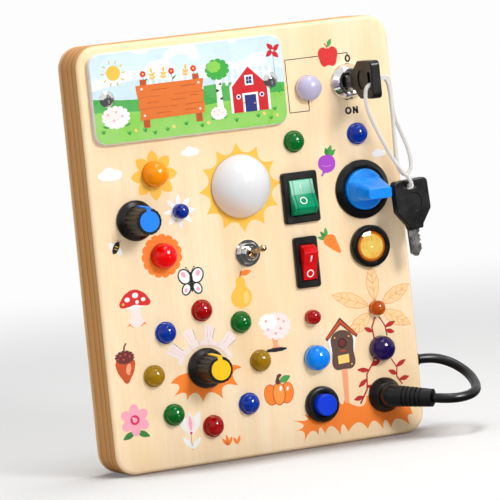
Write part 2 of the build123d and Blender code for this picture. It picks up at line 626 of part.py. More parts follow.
# ================================================================ dimmer and rotary switch
def knob_set(prefix, place, body_radius, body_depth):
    """Body behind the wall, shaft, fluted knob and its coloured cap."""
    body_back = -FRONT_WALL - body_depth
    body = rod(body_radius, body_back, -FRONT_WALL) + rod(BUSH_RADIUS, -FRONT_WALL, BUSH_TOP)
    body -= rod(SHAFT_RADIUS + RUN_GAP, body_back + 2, BUSH_TOP + 1)
    keep(prefix + "_body", at_front(*place, body))
    barrel_hole(place, BUSH_RADIUS)
    circuit_hole(place, body_radius)
    nut = hexagon(KNOB_NUT_FLATS, 0, KNOB_NUT_HEIGHT)
    nut -= rod(BUSH_RADIUS + SEAT_GAP, -1, KNOB_NUT_HEIGHT + 1)
    nuts.append(at_front(*place, nut))
    shaft_top = KNOB_TOP - 4.0
    keep(prefix + "_shaft", at_front(*place, rod(SHAFT_RADIUS, body_back + 2 + RUN_GAP, shaft_top)))
    skirt_top = KNOB_LIFT + KNOB_SKIRT_HEIGHT
    skin = turned([
        (0, KNOB_LIFT),
        (KNOB_SKIRT_RADIUS, KNOB_LIFT),
        (KNOB_SKIRT_RADIUS, KNOB_LIFT + 1.6),
        (KNOB_SKIRT_RADIUS - 1.0, skirt_top - 0.4),
        (KNOB_BODY_RADIUS + 0.6, skirt_top + 1.0),
        (KNOB_BODY_RADIUS, skirt_top + 2.0),
        (KNOB_TOP_RADIUS, KNOB_TOP - 0.6),
        (KNOB_TOP_RADIUS - 0.6, KNOB_TOP),
        (0, KNOB_TOP),
    ])
    for index in range(KNOB_FLUTES):
        lean = Plane(
            origin=(KNOB_BODY_RADIUS + 0.1, 0, skirt_top + 2.0),
            z_dir=(KNOB_TOP_RADIUS - KNOB_BODY_RADIUS, 0, KNOB_TOP - skirt_top - 2.0))
        flute = lean * Cylinder(KNOB_FLUTE_RADIUS, KNOB_TOP, align=UP)
        skin -= Rot(0, 0, (index + 0.5) * 360 / KNOB_FLUTES) * flute
    skin -= rod(KNOB_BODY_RADIUS - 1.5, KNOB_LIFT - 1, BUSH_TOP + 0.5)
    skin -= rod(SHAFT_RADIUS + SEAT_GAP, 0, shaft_top + GAP)
    seat = KNOB_TOP - CAP_SEAT
    pointer_reach = KNOB_TOP_RADIUS + 1
    pointer_hole = Pos(0, pointer_reach / 2, 0) * brick(
        POINTER_WIDTH + 2 * SEAT_GAP, pointer_reach, seat, KNOB_TOP + 1)
    skin -= rod(CAP_RADIUS + SEAT_GAP, seat, KNOB_TOP + 1) + pointer_hole
    side_groove = Pos(0, KNOB_BODY_RADIUS, 0) * brick(
        POINTER_WIDTH + 2 * SEAT_GAP, 3.0, skirt_top + 4, seat + 0.1)
    skin -= side_groove
    keep(prefix + "_knob", at_front(*place, skin))
    cap = rod(CAP_RADIUS, seat, KNOB_TOP + CAP_PROUD)
    bar_end = KNOB_TOP_RADIUS + 0.5
    cap += Pos(0, bar_end / 2, 0) * brick(POINTER_WIDTH, bar_end, seat, KNOB_TOP + CAP_PROUD)
    bar_inside = KNOB_BODY_RADIUS - 1.5
    bar_outside = KNOB_BODY_RADIUS + 0.3
    rib = Polyline(
        (0, bar_inside + SEAT_GAP, skirt_top + 4.2),
        (0, bar_outside, skirt_top + 4.2),
        (0, bar_end, KNOB_TOP),
        (0, bar_end, KNOB_TOP + CAP_PROUD),
        (0, bar_inside + SEAT_GAP, KNOB_TOP + CAP_PROUD),
        close=True,
    )
    cap += extrude(make_face(rib), POINTER_WIDTH / 2, both=True)
    keep(prefix + "_cap", at_front(*place, cap))


knob_set("dimmer", dimmer_at, DIMMER_BODY_RADIUS, DIMMER_BODY_DEPTH)
knob_set("rotary", rotary_at, ROTARY_BODY_RADIUS, ROTARY_BODY_DEPTH)

# ================================================================ toggle
body_back = -FRONT_WALL - TOGGLE_BODY_DEPTH
toggle = brick(*TOGGLE_BODY, body_back, -FRONT_WALL) + rod(TOGGLE_BUSH_RADIUS, -FRONT_WALL, TOGGLE_BUSH_TOP)
toggle -= Pos(0, 0, TOGGLE_PIVOT) * Sphere(TOGGLE_BALL + RUN_GAP)
mouth = TOGGLE_BUSH_TOP - TOGGLE_PIVOT
mouth_radius = TOGGLE_LEVER_RADIUS / cos(radians(TOGGLE_THROW)) + mouth * tan(radians(TOGGLE_THROW)) + GAP
toggle -= Pos(0, 0, TOGGLE_PIVOT) * Cone(TOGGLE_LEVER_RADIUS + GAP, mouth_radius, mouth, align=UP)
toggle -= rod(mouth_radius, TOGGLE_BUSH_TOP - 0.01, TOGGLE_BUSH_TOP + 1)
toggle = chamfer(toggle.edges().group_by(Axis.Z)[-1].sort_by(SortBy.LENGTH)[-1], 0.5)
keep("toggle_housing", at_front(*toggle_at, toggle))
barrel_hole(toggle_at, TOGGLE_BUSH_RADIUS)
body_room = (TOGGLE_BODY[0] + 4 * GAP, TOGGLE_BODY[1] + 4 * GAP)
circuit_cuts.append(at_front(*toggle_at, brick(*body_room, CIRCUIT_BACK - 1, CIRCUIT_FRONT + 1)))
washer = ring(TOGGLE_WASHER_RADIUS, TOGGLE_BUSH_RADIUS + SEAT_GAP, 0, TOGGLE_WASHER_HEIGHT)
nut_top = TOGGLE_WASHER_HEIGHT + TOGGLE_NUT_HEIGHT
nut = hexagon(TOGGLE_NUT_FLATS, TOGGLE_WASHER_HEIGHT, nut_top)
nut_corner = TOGGLE_NUT_FLATS / sqrt(3)
nut &= turned([
    (0, TOGGLE_WASHER_HEIGHT),
    (nut_corner - 0.5, TOGGLE_WASHER_HEIGHT),
    (nut_corner, TOGGLE_WASHER_HEIGHT + 0.5),
    (nut_corner, nut_top - 0.7),
    (nut_corner - 1.1, nut_top),
    (0, nut_top),
])
nut -= rod(TOGGLE_BUSH_RADIUS + SEAT_GAP, 0, nut_top + 1)
nuts.append(at_front(*toggle_at, washer))
nuts.append(at_front(*toggle_at, nut))
lever = Sphere(TOGGLE_BALL) + rod(TOGGLE_LEVER_RADIUS, 0, TOGGLE_REACH - TOGGLE_TIP_RADIUS)
lever += Pos(0, 0, TOGGLE_REACH - 7.5) * Cone(
    TOGGLE_LEVER_RADIUS, TOGGLE_TIP_RADIUS - 0.2, 5.6, align=UP)
lever += Pos(0, 0, TOGGLE_REACH - TOGGLE_TIP_RADIUS) * Sphere(TOGGLE_TIP_RADIUS)
keep("toggle_lever", at_front(*toggle_at, Rot(-TOGGLE_THROW, 0, 0) * lever, TOGGLE_PIVOT))


# ================================================================ rockers
def rocker(prefix, place, frame_width, paddle_width, rest_throw):
    """Snap-in frame with a closed body, and a paddle on two trunnions."""
    frame = extrude(RectangleRounded(frame_width, ROCKER_HEIGHT, ROCKER_CORNER), ROCKER_FRAME_TOP)
    frame = chamfer(frame.edges().group_by(Axis.Z)[-1], 0.9)
    body_width = frame_width - 2 * ROCKER_LIP
    body_height = ROCKER_HEIGHT - 2 * ROCKER_LIP
    frame += brick(body_width, body_height, -ROCKER_BODY_DEPTH, 0)
    window_width = paddle_width + 2 * GAP
    window_height = 2 * (PADDLE_REACH + GAP)
    frame -= brick(window_width, window_height, -ROCKER_BODY_DEPTH + ROCKER_FLOOR, ROCKER_FRAME_TOP + 1)
    socket_reach = paddle_width / 2 + TRUNNION_LENGTH + GAP
    across = Rot(0, 90, 0) * Cylinder(TRUNNION_RADIUS + RUN_GAP, 2 * socket_reach)
    frame -= Pos(0, 0, PADDLE_PIVOT) * across
    keep(prefix + "_frame", at_front(*place, frame))
    room = brick(body_width + 2 * HOLE_GAP, body_height + 2 * HOLE_GAP, -FRONT_WALL - 1, 1)
    wall_cuts.append(at_front(*place, room))
    room = brick(body_width + 4 * GAP, body_height + 4 * GAP, CIRCUIT_BACK - 1, CIRCUIT_FRONT + 1)
    circuit_cuts.append(at_front(*place, room))
    # Drawn about its pivot: ends are arcs round the pivot, the face a shallow V.
    outside = PADDLE_REACH + 1
    face_end = PADDLE_MIDDLE + outside * tan(radians(PADDLE_DIP))
    keep_face = make_face(Polyline(
        (0, -outside, -PADDLE_BELOW),
        (0, outside, -PADDLE_BELOW),
        (0, outside, face_end),
        (0, 0, PADDLE_MIDDLE),
        (0, -outside, face_end),
        close=True,
    ))
    wedge = extrude(keep_face, paddle_width / 2, both=True)
    paddle = wedge & Rot(0, 90, 0) * Cylinder(PADDLE_REACH, paddle_width)
    paddle += Rot(0, 90, 0) * Cylinder(TRUNNION_RADIUS, paddle_width + 2 * TRUNNION_LENGTH)
    keep(prefix + "_paddle", at_front(*place, Rot(rest_throw, 0, 0) * paddle, PADDLE_PIVOT))


rocker("green_rocker", green_rocker_at, GREEN_FRAME_WIDTH, GREEN_PADDLE_WIDTH, -ROCKER_THROW)
rocker("red_rocker", red_rocker_at, RED_FRAME_WIDTH, RED_PADDLE_WIDTH, ROCKER_THROW)


# ================================================================ push buttons
def push_button(prefix, place, bezel_radius, bezel_height, barrel_radius, cap_radius):
    """Housing with a round bezel; the cap slides in its bore."""
    housing = turned([
        (0, -BUTTON_FLOOR - BUTTON_BASE),
        (barrel_radius, -BUTTON_FLOOR - BUTTON_BASE),
        (barrel_radius, 0),
        (bezel_radius, 0),
        (bezel_radius, bezel_height - 1.8),
        (bezel_radius - 0.6, bezel_height - 0.6),
        (bezel_radius - 1.6, bezel_height),
        (cap_radius + 1.0, bezel_height),
        (cap_radius + GAP, bezel_height - 0.8),
        (0, bezel_height - 0.8),
    ])
    housing -= rod(cap_radius + RUN_GAP, -BUTTON_FLOOR, bezel_height)
    keep(prefix + "_housing", at_front(*place, housing))
    barrel_hole(place, barrel_radius)
    circuit_hole(place, barrel_radius)
    panel_nut(place, barrel_radius)


def button_spring(place, cap_foot):
    """Coil spring between the cap's foot and the housing's floor."""
    height = cap_foot + BUTTON_FLOOR - 2 * SPRING_WIRE
    coil = Helix(height / SPRING_TURNS, height, SPRING_RADIUS)
    start = Plane(origin=coil @ 0, z_dir=coil % 0)
    wire = sweep(start * Circle(SPRING_WIRE), path=coil, is_frenet=True)
    return at_front(*place, wire, -BUTTON_FLOOR + SPRING_WIRE)


push_button("amber_button", amber_button_at, AMBER_BEZEL_RADIUS, AMBER_BEZEL_HEIGHT,
            AMBER_BARREL_RADIUS, AMBER_LENS_RADIUS)
crown = 1.4
crown_ball = (AMBER_LENS_RADIUS ** 2 + crown ** 2) / (2 * crown)
amber_lens = rod(AMBER_LENS_RADIUS, -BUTTON_SKIRT, AMBER_LENS_TOP)
amber_lens &= Pos(0, 0, AMBER_LENS_TOP - crown_ball) * Sphere(crown_ball)
keep("amber_button_lens", at_front(*amber_button_at, amber_lens))

push_button("blue_button", blue_button_at, BLUE_BEZEL_RADIUS, BLUE_BEZEL_HEIGHT,
            BLUE_BARREL_RADIUS, BLUE_CAP_RADIUS)
blue_cap = rod(BLUE_CAP_RADIUS, -BUTTON_SKIRT, BLUE_CAP_TOP)
blue_cap = fillet(blue_cap.edges().group_by(Axis.Z)[-1], 0.8)
keep("blue_button_cap", at_front(*blue_button_at, blue_cap))
keep("amber_button_spring", button_spring(amber_button_at, -BUTTON_SKIRT))
keep("blue_button_spring", button_spring(blue_button_at, -BUTTON_SKIRT))

# ================================================================ socket, plug, cable, gland
bore_foot = -SOCKET_DEPTH + 1.5
socket = turned([
    (0, -SOCKET_DEPTH),
    (SOCKET_BARREL_RADIUS, -SOCKET_DEPTH),
    (SOCKET_BARREL_RADIUS, 0),
    (SOCKET_RADIUS, 0),
    (SOCKET_RADIUS, 1.6),
    (SOCKET_RADIUS - 0.7, 2.8),
    (SOCKET_FACE_RADIUS + 0.4, SOCKET_HEIGHT - 0.6),
    (SOCKET_FACE_RADIUS - 0.4, SOCKET_HEIGHT),
    (0, SOCKET_HEIGHT),
])
socket -= rod(SOCKET_BORE, bore_foot, SOCKET_HEIGHT + 1)
keep("cable_socket", at_front(*socket_at, socket))
barrel_hole(socket_at, SOCKET_BARREL_RADIUS)
circuit_hole(socket_at, SOCKET_BARREL_RADIUS)
panel_nut(socket_at, SOCKET_BARREL_RADIUS)

plug_foot = SOCKET_HEIGHT + GAP
lean = Vector(sin(radians(PLUG_ANGLE)), -PLUG_DROOP, cos(radians(PLUG_ANGLE))).normalized()
plug = rod(PLUG_RADIUS, plug_foot, PLUG_ELBOW) + Pos(0, 0, PLUG_ELBOW) * Sphere(PLUG_RADIUS)
barrel_plane = Plane(origin=(0, 0, PLUG_ELBOW), z_dir=lean)
rib_start = PLUG_LENGTH - 4.6 - PLUG_RIBS * PLUG_RIB_PITCH
taper = (PLUG_RADIUS - PLUG_END_RADIUS) / PLUG_LENGTH
barrel = Cone(PLUG_RADIUS, PLUG_END_RADIUS, PLUG_LENGTH, align=UP)
for index in range(PLUG_RIBS):
    level = rib_start + index * PLUG_RIB_PITCH
    outer = PLUG_RADIUS - taper * level + 0.5
    barrel -= ring(outer, outer - 1.4, level, level + PLUG_RIB_PITCH - PLUG_RIB_WIDTH)
plug += barrel_plane * barrel
plug -= rod(2 * PLUG_RADIUS, plug_foot - 2 * PLUG_RADIUS, plug_foot)
plug += rod(SOCKET_BORE - RUN_GAP, SOCKET_HEIGHT - PLUG_TIP_LENGTH, plug_foot)
keep("plug", at_front(*socket_at, plug))

cable_start = Vector(socket_at[0], FRONT_Y - PLUG_ELBOW, socket_at[1])
heading = Vector(lean.X, -lean.Z, lean.Y)
exit_point = cable_start + heading * PLUG_LENGTH
gland_end = (RIGHT_EDGE + GLAND_LENGTH, 0.0, GLAND_Z)
cable_route = [
    tuple(exit_point),
    tuple(exit_point + heading * 10.4),
    (RIGHT_EDGE + 9.5, FRONT_Y - 37.9, GLAND_Z - 19.7),
    (RIGHT_EDGE + 18.7, FRONT_Y - 33.2, GLAND_Z - 18.2),
    (RIGHT_EDGE + 25.9, FRONT_Y - 20.1, GLAND_Z - 15.6),
    (RIGHT_EDGE + 29.3, FRONT_Y - 5.2, GLAND_Z - 10.5),
    (RIGHT_EDGE + 26.2, FRONT_Y + 6.5, GLAND_Z - 4.9),
    (RIGHT_EDGE + 20.1, FRONT_Y + 12.4, GLAND_Z - 1.5),
    (RIGHT_EDGE + 12.9, 0.0, GLAND_Z),
    gland_end,
]
keep("plug_cable", tube("plug_cable", cable_route, CABLE_DIAMETER))

side = Plane(origin=(RIGHT_EDGE, 0, GLAND_Z), x_dir=(0, 1, 0), z_dir=(1, 0, 0))
gland = rod(GLAND_RADIUS, 0, 2.4)
gland += Pos(0, 0, 2.4) * Cone(GLAND_RADIUS - 0.6, CABLE_DIAMETER / 2 + 0.9, GLAND_LENGTH - 2.4, align=UP)
gland += rod(GLAND_STEM, -SIDE_WALL - 2.0, 0)
keep("cable_gland", side * gland)
wall_cuts.append(side * rod(GLAND_STEM + HOLE_GAP, -SIDE_WALL - 1, 1))

# ================================================================ circuit board
hollow_width = BOARD_WIDTH - 2 * SIDE_WALL
hollow_height = BOARD_HEIGHT - 2 * SIDE_WALL
hollow_corner = 6.0
circuit_width = hollow_width - 2 * CIRCUIT_MARGIN
circuit_height = hollow_height - 2 * CIRCUIT_MARGIN
circuit = extrude(RectangleRounded(circuit_width, circuit_height, 4.0), CIRCUIT_THICKNESS)
circuit = at_front(0, BOARD_HEIGHT / 2, circuit, CIRCUIT_BACK)
stand_right = (COLUMN_C + COLUMN_D) / 2
stand_left = -circuit_width / 2 + STANDOFF_INSET
stand_low = SIDE_WALL + CIRCUIT_MARGIN + STANDOFF_INSET
stand_high = BOARD_HEIGHT - stand_low
stand_places = [
    (stand_left, stand_low),
    (stand_left, (ROW_SMALL + ROW_SELECTOR) / 2),
    (stand_left, stand_high),
    (stand_right, stand_low - 3.0),
    (stand_right, (ROW_SMALL + ROW_BUTTON) / 2),
    (stand_right, stand_high),
]
standoffs = []
for place in stand_places:
    post = rod(STANDOFF_RADIUS, CIRCUIT_FRONT, -FRONT_WALL)
    post += rod(STANDOFF_SCREW, CIRCUIT_BACK, CIRCUIT_FRONT)
    post += rod(STANDOFF_RADIUS, CIRCUIT_BACK - 1.5, CIRCUIT_BACK)
    post += rod(STANDOFF_SCREW, -FRONT_WALL, -FRONT_WALL + 3.0)
    standoffs.append(at_front(*place, post))
    circuit_hole(place, STANDOFF_SCREW + HOLE_GAP - 2 * GAP)
    wall_cuts.append(at_front(*place, rod(STANDOFF_SCREW + SEAT_GAP, -FRONT_WALL - 1, -FRONT_WALL + 3.2)))
for cut in circuit_cuts:
    circuit -= cut
keep("circuit_board", circuit)
keep("circuit_board_standoffs", *standoffs)
keep("switch_nuts", *nuts)

# ================================================================ back panel and batteries
panel_width = hollow_width + 2 * PANEL_LEDGE - 2 * GAP
panel_height = hollow_height + 2 * PANEL_LEDGE - 2 * GAP
panel = extrude(RectangleRounded(panel_width, panel_height, hollow_corner + PANEL_LEDGE), PANEL_THICKNESS)
panel = at_rear(0, BOARD_HEIGHT / 2, panel, -PANEL_THICKNESS)

tray_width = CELL_COUNT * CELL_PITCH + 2 * GAP
tray_height = CELL_LENGTH + 4.0
box_width = tray_width + 2 * BOX_WALL
box_height = tray_height + 2 * BOX_WALL
box_z = BOX_BOTTOM + box_height / 2
door_low = -DOOR_THICKNESS
cell_middle = door_low - GAP - CELL_RADIUS
tray_floor = cell_middle - CELL_RADIUS - GAP
flange_out = -PANEL_THICKNESS
door_width = box_width - 2 * GAP
door_height = box_height + DOOR_TAB - 2 * GAP
door_z = BOX_BOTTOM + (box_height + DOOR_TAB) / 2
screw_z = BOX_BOTTOM + box_height + DOOR_TAB / 2
# The panel has one opening, and the box closes it from inside with a flange.
opening = brick(door_width + 2 * GAP, door_height + 2 * GAP, -PANEL_THICKNESS - 1, 1)
panel -= at_rear(0, door_z, opening)
box = brick(box_width - 2 * GAP, box_height - 2 * GAP, tray_floor - BOX_WALL, flange_out)
box = Pos(0, box_z - door_z, 0) * box
box += brick(door_width + 2 * BOX_FLANGE, door_height + 2 * BOX_FLANGE, flange_out - BOX_WALL, flange_out)
box += brick(door_width, door_height, flange_out, door_low)
box -= Pos(0, box_z - door_z, 0) * brick(tray_width, tray_height, tray_floor, 1)
boss = Pos(0, screw_z - door_z, 0) * rod(DOOR_SCREW_RADIUS + 1.6, flange_out - 6.0, flange_out)
box += boss
box -= Pos(0, screw_z - door_z, 0) * rod(DOOR_SCREW_RADIUS + HOLE_GAP, flange_out - 5.0, 1)
keep("battery_box", at_rear(0, door_z, box))

door = brick(door_width, door_height, door_low, 0)
door = chamfer(door.edges().group_by(Axis.Z)[-1], 0.4)
screw_hole = Pos(0, screw_z - door_z, 0)
door -= screw_hole * rod(DOOR_SCREW_RADIUS + SEAT_GAP, door_low - 1, 1)
door -= screw_hole * rod(DOOR_SCREW_HEAD + SEAT_GAP, -1.2, 1)
for index in range(5):
    door -= Pos(0, -door_height / 2 + 6 + 2.4 * index, 0) * brick(16, 1.0, -0.5, 1)
keep("battery_door", at_rear(0, door_z, door))
door_screw = rod(DOOR_SCREW_RADIUS, -8.0, -1.2) + rod(DOOR_SCREW_HEAD, -1.2, -0.1)
for turn in (0, 90):
    door_screw -= Rot(0, 0, turn) * brick(3.4, 0.8, -0.9, 1)
keep("door_screw", at_rear(0, screw_z, door_screw))
cells = []
for index in range(CELL_COUNT):
    flip = 1 if index % 2 else -1
    cell = Cylinder(CELL_RADIUS, CELL_LENGTH - 1.0) + Pos(0, 0, CELL_LENGTH / 2 - 0.5) * Cylinder(1.9, 2.0)
    cell = Rot(flip * 90, 0, 0) * cell
    offset = (index - (CELL_COUNT - 1) / 2) * CELL_PITCH
    cells.append(at_rear(offset, box_z, cell, cell_middle))
keep("batteries", *cells)

# ================================================================ body shell
shell = extrude(RectangleRounded(BOARD_WIDTH, BOARD_HEIGHT, CORNER_RADIUS), BOARD_DEPTH)
shell = at_front(0, BOARD_HEIGHT / 2, shell, -BOARD_DEPTH)
outlines = shell.edges().group_by(Axis.Y)
shell = fillet(outlines[0] + outlines[-1], EDGE_RADIUS)
hollow = extrude(RectangleRounded(hollow_width, hollow_height, hollow_corner), BOARD_DEPTH)
shell -= at_front(0, BOARD_HEIGHT / 2, hollow, -BOARD_DEPTH - FRONT_WALL)
rebate = RectangleRounded(panel_width + 2 * GAP, panel_height + 2 * GAP, hollow_corner + PANEL_LEDGE)
shell -= at_rear(0, BOARD_HEIGHT / 2, extrude(rebate, PANEL_THICKNESS + 1), -PANEL_THICKNESS)

edge = PANEL_LEDGE / 2
rows = (-1, 0, 1)
panel_screw_places = [
    (side * (hollow_width / 2 + edge), BOARD_HEIGHT / 2 + row * (hollow_height / 2 - 14))
    for side in (-1, 1) for row in rows
]
panel_screw_places += [(0, BOARD_HEIGHT / 2 + side * (hollow_height / 2 + edge)) for side in (-1, 1)]
panel_screws = []
for place in panel_screw_places:
    head_depth = PANEL_SCREW_HEAD - PANEL_SCREW_SHANK
    screw = rod(PANEL_SCREW_SHANK, -PANEL_SCREW_LENGTH, -head_depth)
    screw += Pos(0, 0, -head_depth) * Cone(PANEL_SCREW_SHANK, PANEL_SCREW_HEAD, head_depth, align=UP)
    for turn in (0, 90):
        screw -= Rot(0, 0, turn) * brick(3.2, 0.8, -0.9, 1)
    hole = rod(PANEL_SCREW_SHANK + SEAT_GAP, -PANEL_SCREW_LENGTH - GAP, 1)
    sink = Pos(0, 0, -head_depth - SEAT_GAP) * Cone(
        PANEL_SCREW_SHANK, PANEL_SCREW_HEAD + 3 * SEAT_GAP, head_depth + 2 * SEAT_GAP, align=UP)
    wall_cuts.append(at_rear(*place, hole))
    panel -= at_rear(*place, hole) + at_rear(*place, sink)
    panel_screws.append(at_rear(*place, screw))
for cut in wall_cuts:
    shell -= cut
keep("body_shell", shell)
keep("back_panel", panel)
keep("back_panel_screws", *panel_screws)

# ================================================================ files
os.makedirs("parts", exist_ok=True)
for name, shape in parts.items():
    export_step(shape, f"parts/{name}.step")
print(len(parts), "nodes")
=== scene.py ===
from math import cos, pi, radians, sin

import bmesh
import bpy
from mathutils import Matrix, Vector


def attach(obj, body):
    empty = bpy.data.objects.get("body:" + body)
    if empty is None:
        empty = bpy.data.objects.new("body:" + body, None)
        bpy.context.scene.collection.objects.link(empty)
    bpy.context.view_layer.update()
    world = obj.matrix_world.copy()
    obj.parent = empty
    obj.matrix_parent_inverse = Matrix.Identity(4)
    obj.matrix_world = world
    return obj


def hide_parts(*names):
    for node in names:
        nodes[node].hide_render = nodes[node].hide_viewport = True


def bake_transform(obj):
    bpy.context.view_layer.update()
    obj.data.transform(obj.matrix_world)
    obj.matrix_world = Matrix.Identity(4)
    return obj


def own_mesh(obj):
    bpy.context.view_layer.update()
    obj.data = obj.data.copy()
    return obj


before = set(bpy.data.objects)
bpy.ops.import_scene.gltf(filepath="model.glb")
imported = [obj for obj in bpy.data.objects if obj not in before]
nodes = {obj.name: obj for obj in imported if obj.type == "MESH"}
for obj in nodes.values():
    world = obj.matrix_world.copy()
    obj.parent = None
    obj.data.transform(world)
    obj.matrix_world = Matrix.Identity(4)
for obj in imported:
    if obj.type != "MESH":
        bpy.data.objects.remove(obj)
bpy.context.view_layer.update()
scene = bpy.context.scene
print("busy board: frame loaded,", len(nodes), "nodes")

# camera
viewer = dict(target=(-0.0027258, -0.015, 0.1213501), distance=2.63155, azimuth=23.9489,
              height=4.4974, roll=-5.7376, lens=324.09)
turn, rise = radians(viewer["azimuth"]), radians(viewer["height"])
backward = Vector((-sin(turn) * cos(rise), -cos(turn) * cos(rise), sin(rise)))
cameraData = bpy.data.cameras.new("camera")
cameraData.lens = viewer["lens"]
cameraData.sensor_width = 36
cameraData.clip_end = 50
camera = bpy.data.objects.new("camera", cameraData)
camera.matrix_world = (
    Matrix.Translation(Vector(viewer["target"]) + viewer["distance"] * backward)
    @ backward.to_track_quat("Z", "Y").to_matrix().to_4x4()
    @ Matrix.Rotation(radians(viewer["roll"]), 4, "Z")
)
scene.collection.objects.link(camera)
scene.camera = camera


# small helpers
def mm(*values):
    return Vector(values) / 1000


def addObject(name, data):
    piece = bpy.data.objects.new(name, data)
    scene.collection.objects.link(piece)
    return piece


# the finished mesh of a curve object, which is removed
def meshOf(source, name):
    bpy.context.view_layer.update()
    graph = bpy.context.evaluated_depsgraph_get()
    mesh = bpy.data.meshes.new_from_object(source.evaluated_get(graph))
    mesh.name = name
    bpy.data.objects.remove(source)
    return mesh


# a round line along points, in metres
def curveThrough(points, kind="POLY", radius=0.0, sides=2):
    data = bpy.data.curves.new("line", "CURVE")
    data.dimensions = "3D"
    data.resolution_u = 10
    data.bevel_depth = radius
    data.bevel_resolution = sides
    data.use_fill_caps = True
    spline = data.splines.new(kind)
    spline.points.add(len(points) - 1)
    for point, place in zip(spline.points, points):
        point.co = (*place, 1)
    if kind == "NURBS":
        spline.order_u = 3
        spline.use_endpoint_u = True
    return addObject("line", data)


# the smooth line that a cord follows, as points
def linePoints(points):
    mesh = meshOf(curveThrough([mm(*point) for point in points], "NURBS"), "centreline")
    line = [vertex.co.copy() for vertex in mesh.vertices]
    bpy.data.meshes.remove(mesh)
    return line


# a bmesh as a mesh: what touches is joined and every face turned outwards
def closedMesh(shape, name, gap=1e-6, smooth=True):
    bmesh.ops.remove_doubles(shape, verts=shape.verts, dist=gap)
    bmesh.ops.recalc_face_normals(shape, faces=shape.faces)
    mesh = bpy.data.meshes.new(name)
    shape.to_mesh(mesh)
    shape.free()
    if smooth:
        mesh.polygons.foreach_set("use_smooth", [True] * len(mesh.polygons))
    return mesh


# adds a round line along points to a bmesh
def addLine(shape, points, radius, sides):
    mesh = meshOf(curveThrough(points, radius=radius, sides=sides), "line")
    shape.from_mesh(mesh)
    bpy.data.meshes.remove(mesh)


# cords
cable = dict(
    diameter=5.8, length=0.098,
    route=[
        (106, 0, 41.5), (112.9, 0, 41.5), (120.1, -2.6, 40.0), (126.2, -8.5, 36.6),
        (129.3, -20.2, 31.0), (125.9, -35.1, 25.9), (118.7, -48.2, 23.3), (109.5, -52.9, 21.8),
        (99.3, -51.29, 21.68), (92.24, -43.72, 22.71),
    ],
)
cableLine = linePoints(cable["route"])
cableShape = bmesh.new()
addLine(cableShape, cableLine, cable["diameter"] / 2000, 6)
flexCable = addObject("flex_cable", closedMesh(cableShape, "flexCable"))

string = dict(
    length=0.2328, strands=4, laysPerMetre=150, strandRadius=0.44, core=0.80, offset=0.76, swing=0.1,
    step=0.0006,    # metres between the points of a strand; radii and offsets in mm
    route=[
        (71.5, -50.8, 213.7), (79.0, -51.0, 215.9), (82.3, -47.8, 210.3), (83.6, -44.8, 200.9),
        (86.0, -41.8, 189.3), (91.2, -38.2, 180.0), (95.1, -36.4, 171.6), (97.0, -35.6, 164.3),
        (96.7, -35.4, 157.5), (92.6, -35.8, 154.2), (88.2, -36.8, 157.8), (86.3, -38.4, 165.3),
        (85.0, -41.0, 177.1), (83.8, -44.2, 189.9), (82.2, -47.2, 201.9), (80.4, -49.6, 210.5),
        (77.2, -50.8, 214.5), (73.4, -50.8, 211.0), (67.1, -50.8, 211.0), (64.5, -50.4, 207.4),
        (65.4, -48.4, 197.4), (71.0, -45.6, 185.6), (78.2, -42.6, 173.0), (86.1, -40.6, 159.9),
        (92.9, -40.4, 152.6), (94.5, -39.2, 147.6), (94.5, -29.7, 147.6),
    ],
)
stringLine = linePoints(string["route"])


# the same line with points a step apart
def evenPoints(line, step):
    places = [line[0].copy()]
    left = step
    for start, end in zip(line, line[1:]):
        span = (end - start).length
        while left <= span:
            places.append(start.lerp(end, left / span))
            left += step
        left -= span
    places.append(line[-1].copy())
    return places


# strands that wind both ways round a core
def braid(line, form):
    shape = bmesh.new()
    centre = evenPoints(line, form["step"])
    heading = (centre[1] - centre[0]).normalized()
    side = heading.orthogonal().normalized()
    frames = []
    for before, after in zip(centre[:1] + centre[:-1], centre[1:] + centre[-1:]):
        direction = (after - before).normalized()
        side = heading.rotation_difference(direction) @ side
        heading = direction
        frames.append((side.copy(), heading.cross(side)))
    lines = [(form["core"], centre)]
    for way in (1, -1):
        for strand in range(form["strands"]):
            path = []
            for index, (place, (across, over)) in enumerate(zip(centre, frames)):
                turns = strand / form["strands"] + way * form["laysPerMetre"] * form["step"] * index
                angle = 2 * pi * turns
                lift = form["offset"] + form["swing"] * way * cos(angle * form["strands"])
                path.append(place + (across * cos(angle) + over * sin(angle)) * lift / 1000)
            lines.append((form["strandRadius"], path))
    for radius, path in lines:
        addLine(shape, path, radius / 1000, 1)
    return closedMesh(shape, "braid")


keyString = addObject("key_string_braid", braid(stringLine, string))
print("busy board: cords", len(cableLine), len(stringLine))

# floor, lamps and world
studio = dict(
    white=0.985, sky=0.51,
    floorSize=9.0, floorShade=0.64, floorGlow=0.17, floorFar=(0.45, 1.3),
    paintedFootShadow=dict(reach=0.08, dark=0.58, clear=0.67, tint=(0.16, 0.105, 0.07, 1)),   # shadow at the foot
    mirrorFar=(0.02, 0.12), mirrorHigh=1.0, mirrorLow=0.13,     # what glossy faces and glass see
    mirrorAhead=(0.405, -0.911, -0.078), mirrorCone=(0.92, 0.66),
    key=dict(place=(0.52, 0.45, 0.73), distance=1.30, size=(0.29, 0.29), power=8.25,
             colour=(1.0, 0.985, 0.96)),
    top=dict(place=(0.05, 0.99, 0.10), distance=1.15, size=(0.95, 0.34), power=8.0),
    side=dict(place=(-0.90, 0.25, 0.35), distance=1.6, size=(0.8, 0.9), power=1.3),
    glint=dict(place=(0.56, 0.50, 0.66), distance=1.29, size=(0.50, 0.50), power=31.0),
)
lampTarget = Vector((0, 0, 0.125))
cameraAxes = camera.matrix_world.to_3x3()
